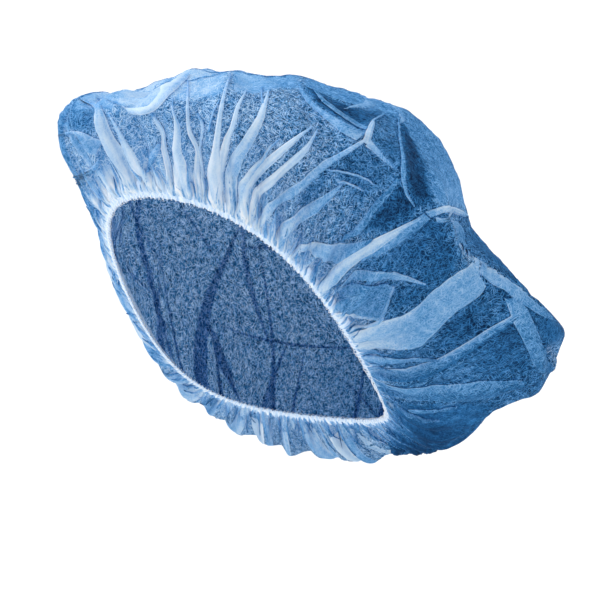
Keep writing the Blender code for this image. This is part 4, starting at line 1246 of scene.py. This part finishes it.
def makeOverlock():
    # a thread that winds round the hem's lower edge: out of the cloth, over the edge and back on the
    # other side, its height along the hem a cosine of the stitch and its stand-off a sine of it
    count = overlock["loops"] * overlock["samples"]
    rng = np.random.default_rng(overlock["seed"])
    phases = rng.uniform(0, 2 * np.pi, 4)
    step = np.arange(count) / count
    angle = step * 2 * np.pi
    turn = overlock["loops"] * step * 2 * np.pi
    uneven = wavy(1, angle, overlock["uneven"], phases)
    middle = (overlock["reach"] - overlock["overhang"]) / 2
    height = middle - (overlock["reach"] + overlock["overhang"]) / 2 * np.cos(turn) * uneven
    stand = overlock["stand"] * np.sin(turn) + overlock["outside"]
    base = smoothCloth(angle, np.zeros(count))
    along = unit(smoothCloth(angle, np.full(count, overlock["upShare"])) - base)
    outward = np.cross(unit(acrossNeighbours(base, axis=0)), along)
    path = base + along * height[:, None] + outward * stand[:, None]
    run = unit(acrossNeighbours(path, axis=0))
    sideways = unit(np.cross(run, outward))
    lifted = np.cross(sideways, run)
    ring = np.arange(overlock["sides"]) * 2 * np.pi / overlock["sides"]
    offset = sideways[None] * np.cos(ring)[:, None, None] + lifted[None] * np.sin(ring)[:, None, None]
    piece = tubeMesh("overlock_thread", path[None] + overlock["thread"] * offset)
    piece.data.materials.append(makeThread())
    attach(piece, "root")
    return piece


def tubeMesh(name, tube):
    # quads of a tube that closes both round its thread and along its path
    sides, count = tube.shape[:2]
    corner = np.arange(sides * count).reshape(sides, count)
    over, on = np.roll(corner, -1, axis=0), np.roll(corner, -1, axis=1)
    quads = np.stack([corner, on, np.roll(on, -1, axis=0), over], axis=-1).reshape(-1, 4)
    return newPiece(name, tube.reshape(-1, 3).tolist(), quads.tolist())


cloth = makeNonwoven()
angle, up = crownGrid(crown["columns"], crown["rows"])
seen = projectGrid(smoothCloth(angle, up))
seenRow, seenColumn, seenPale, seenHeight, seenSpan = seenTucks(seen)
print("creases found in the picture")
angle, up, smooth, high, points = relaxCrown(ridgeLines(seen, seenRow, seenColumn, seenHeight, seenSpan))
seen = projectGrid(evened(points, crown["evened"]))
seenRow, seenColumn, seenPale = seenTucks(seen)[:3]
crownPiece = makeCrown(cloth, seen, angle, up, smooth, high, points)
print("crown made")
tuckPiece = makeTucks(cloth, angle, up, smooth, high, points, seenRow, seenColumn, seenPale)
print("tucks made")
hemPiece = makeHem()
threadPiece = makeOverlock()
print("hem made")

studio = {
    "floorDrop": 0.75,          # floor below the opening's centre
    "width": 16.0, "depth": 6.0, "rise": 7.0, "bend": 2.5, "bendSteps": 24,
    "paper": "#fbfbfa", "paperRoughness": 0.9,
    "world": "#ffffff", "worldStrength": 1.12,
    "keyPower": 26.0, "keyPlace": (-0.9, -1.5, 1.7), "keyAim": (0.0, 0.05, 0.05), "keySize": 0.9,
}


def makeStudio():
    # pale paper sweep: a floor that curves up behind the cap, as a profile carried sideways
    right, _, back, _ = cameraAxes()
    flatBack = np.array([back[0], back[1], 0.0]) / np.hypot(back[0], back[1])
    turn = np.linspace(0, np.pi / 2, studio["bendSteps"])
    wallAt = studio["depth"] / 2
    depth = np.concatenate([[-studio["depth"]], wallAt + studio["bend"] * np.sin(turn),
                            [wallAt + studio["bend"]]])
    rise = np.concatenate([[0.0], studio["bend"] * (1 - np.cos(turn)), [studio["rise"]]])
    sideways = np.array([-0.5, 0.5]) * studio["width"]
    points = (-flatBack * depth[:, None, None] + right * sideways[None, :, None]
              + np.array([0.0, 0.0, 1.0]) * (rise - studio["floorDrop"])[:, None, None])
    floor = stripsMesh("floor", [points[None]])
    paper, _, shader = newMaterial("palePaper", studio["paperRoughness"])
    shader.inputs["Base Color"].default_value = linear(studio["paper"])
    floor.data.materials.append(paper)
    world = bpy.data.worlds.new("studio")
    world.use_nodes = True
    background = world.node_tree.nodes["Background"]
    background.inputs["Color"].default_value = linear(studio["world"])
    background.inputs["Strength"].default_value = studio["worldStrength"]
    bpy.context.scene.world = world
    bpy.context.scene.view_settings.view_transform = "Standard"
    data = bpy.data.lights.new("key", "AREA")
    data.size, data.energy = studio["keySize"], studio["keyPower"]
    key = bpy.data.objects.new("key", data)
    key.location = studio["keyPlace"]
    away = np.array(studio["keyPlace"]) - np.array(studio["keyAim"])
    key.rotation_euler = (np.arctan2(np.hypot(away[0], away[1]), away[2]), 0, np.arctan2(away[0], -away[1]))
    bpy.context.scene.collection.objects.link(key)


makeStudio()
print("studio lit")
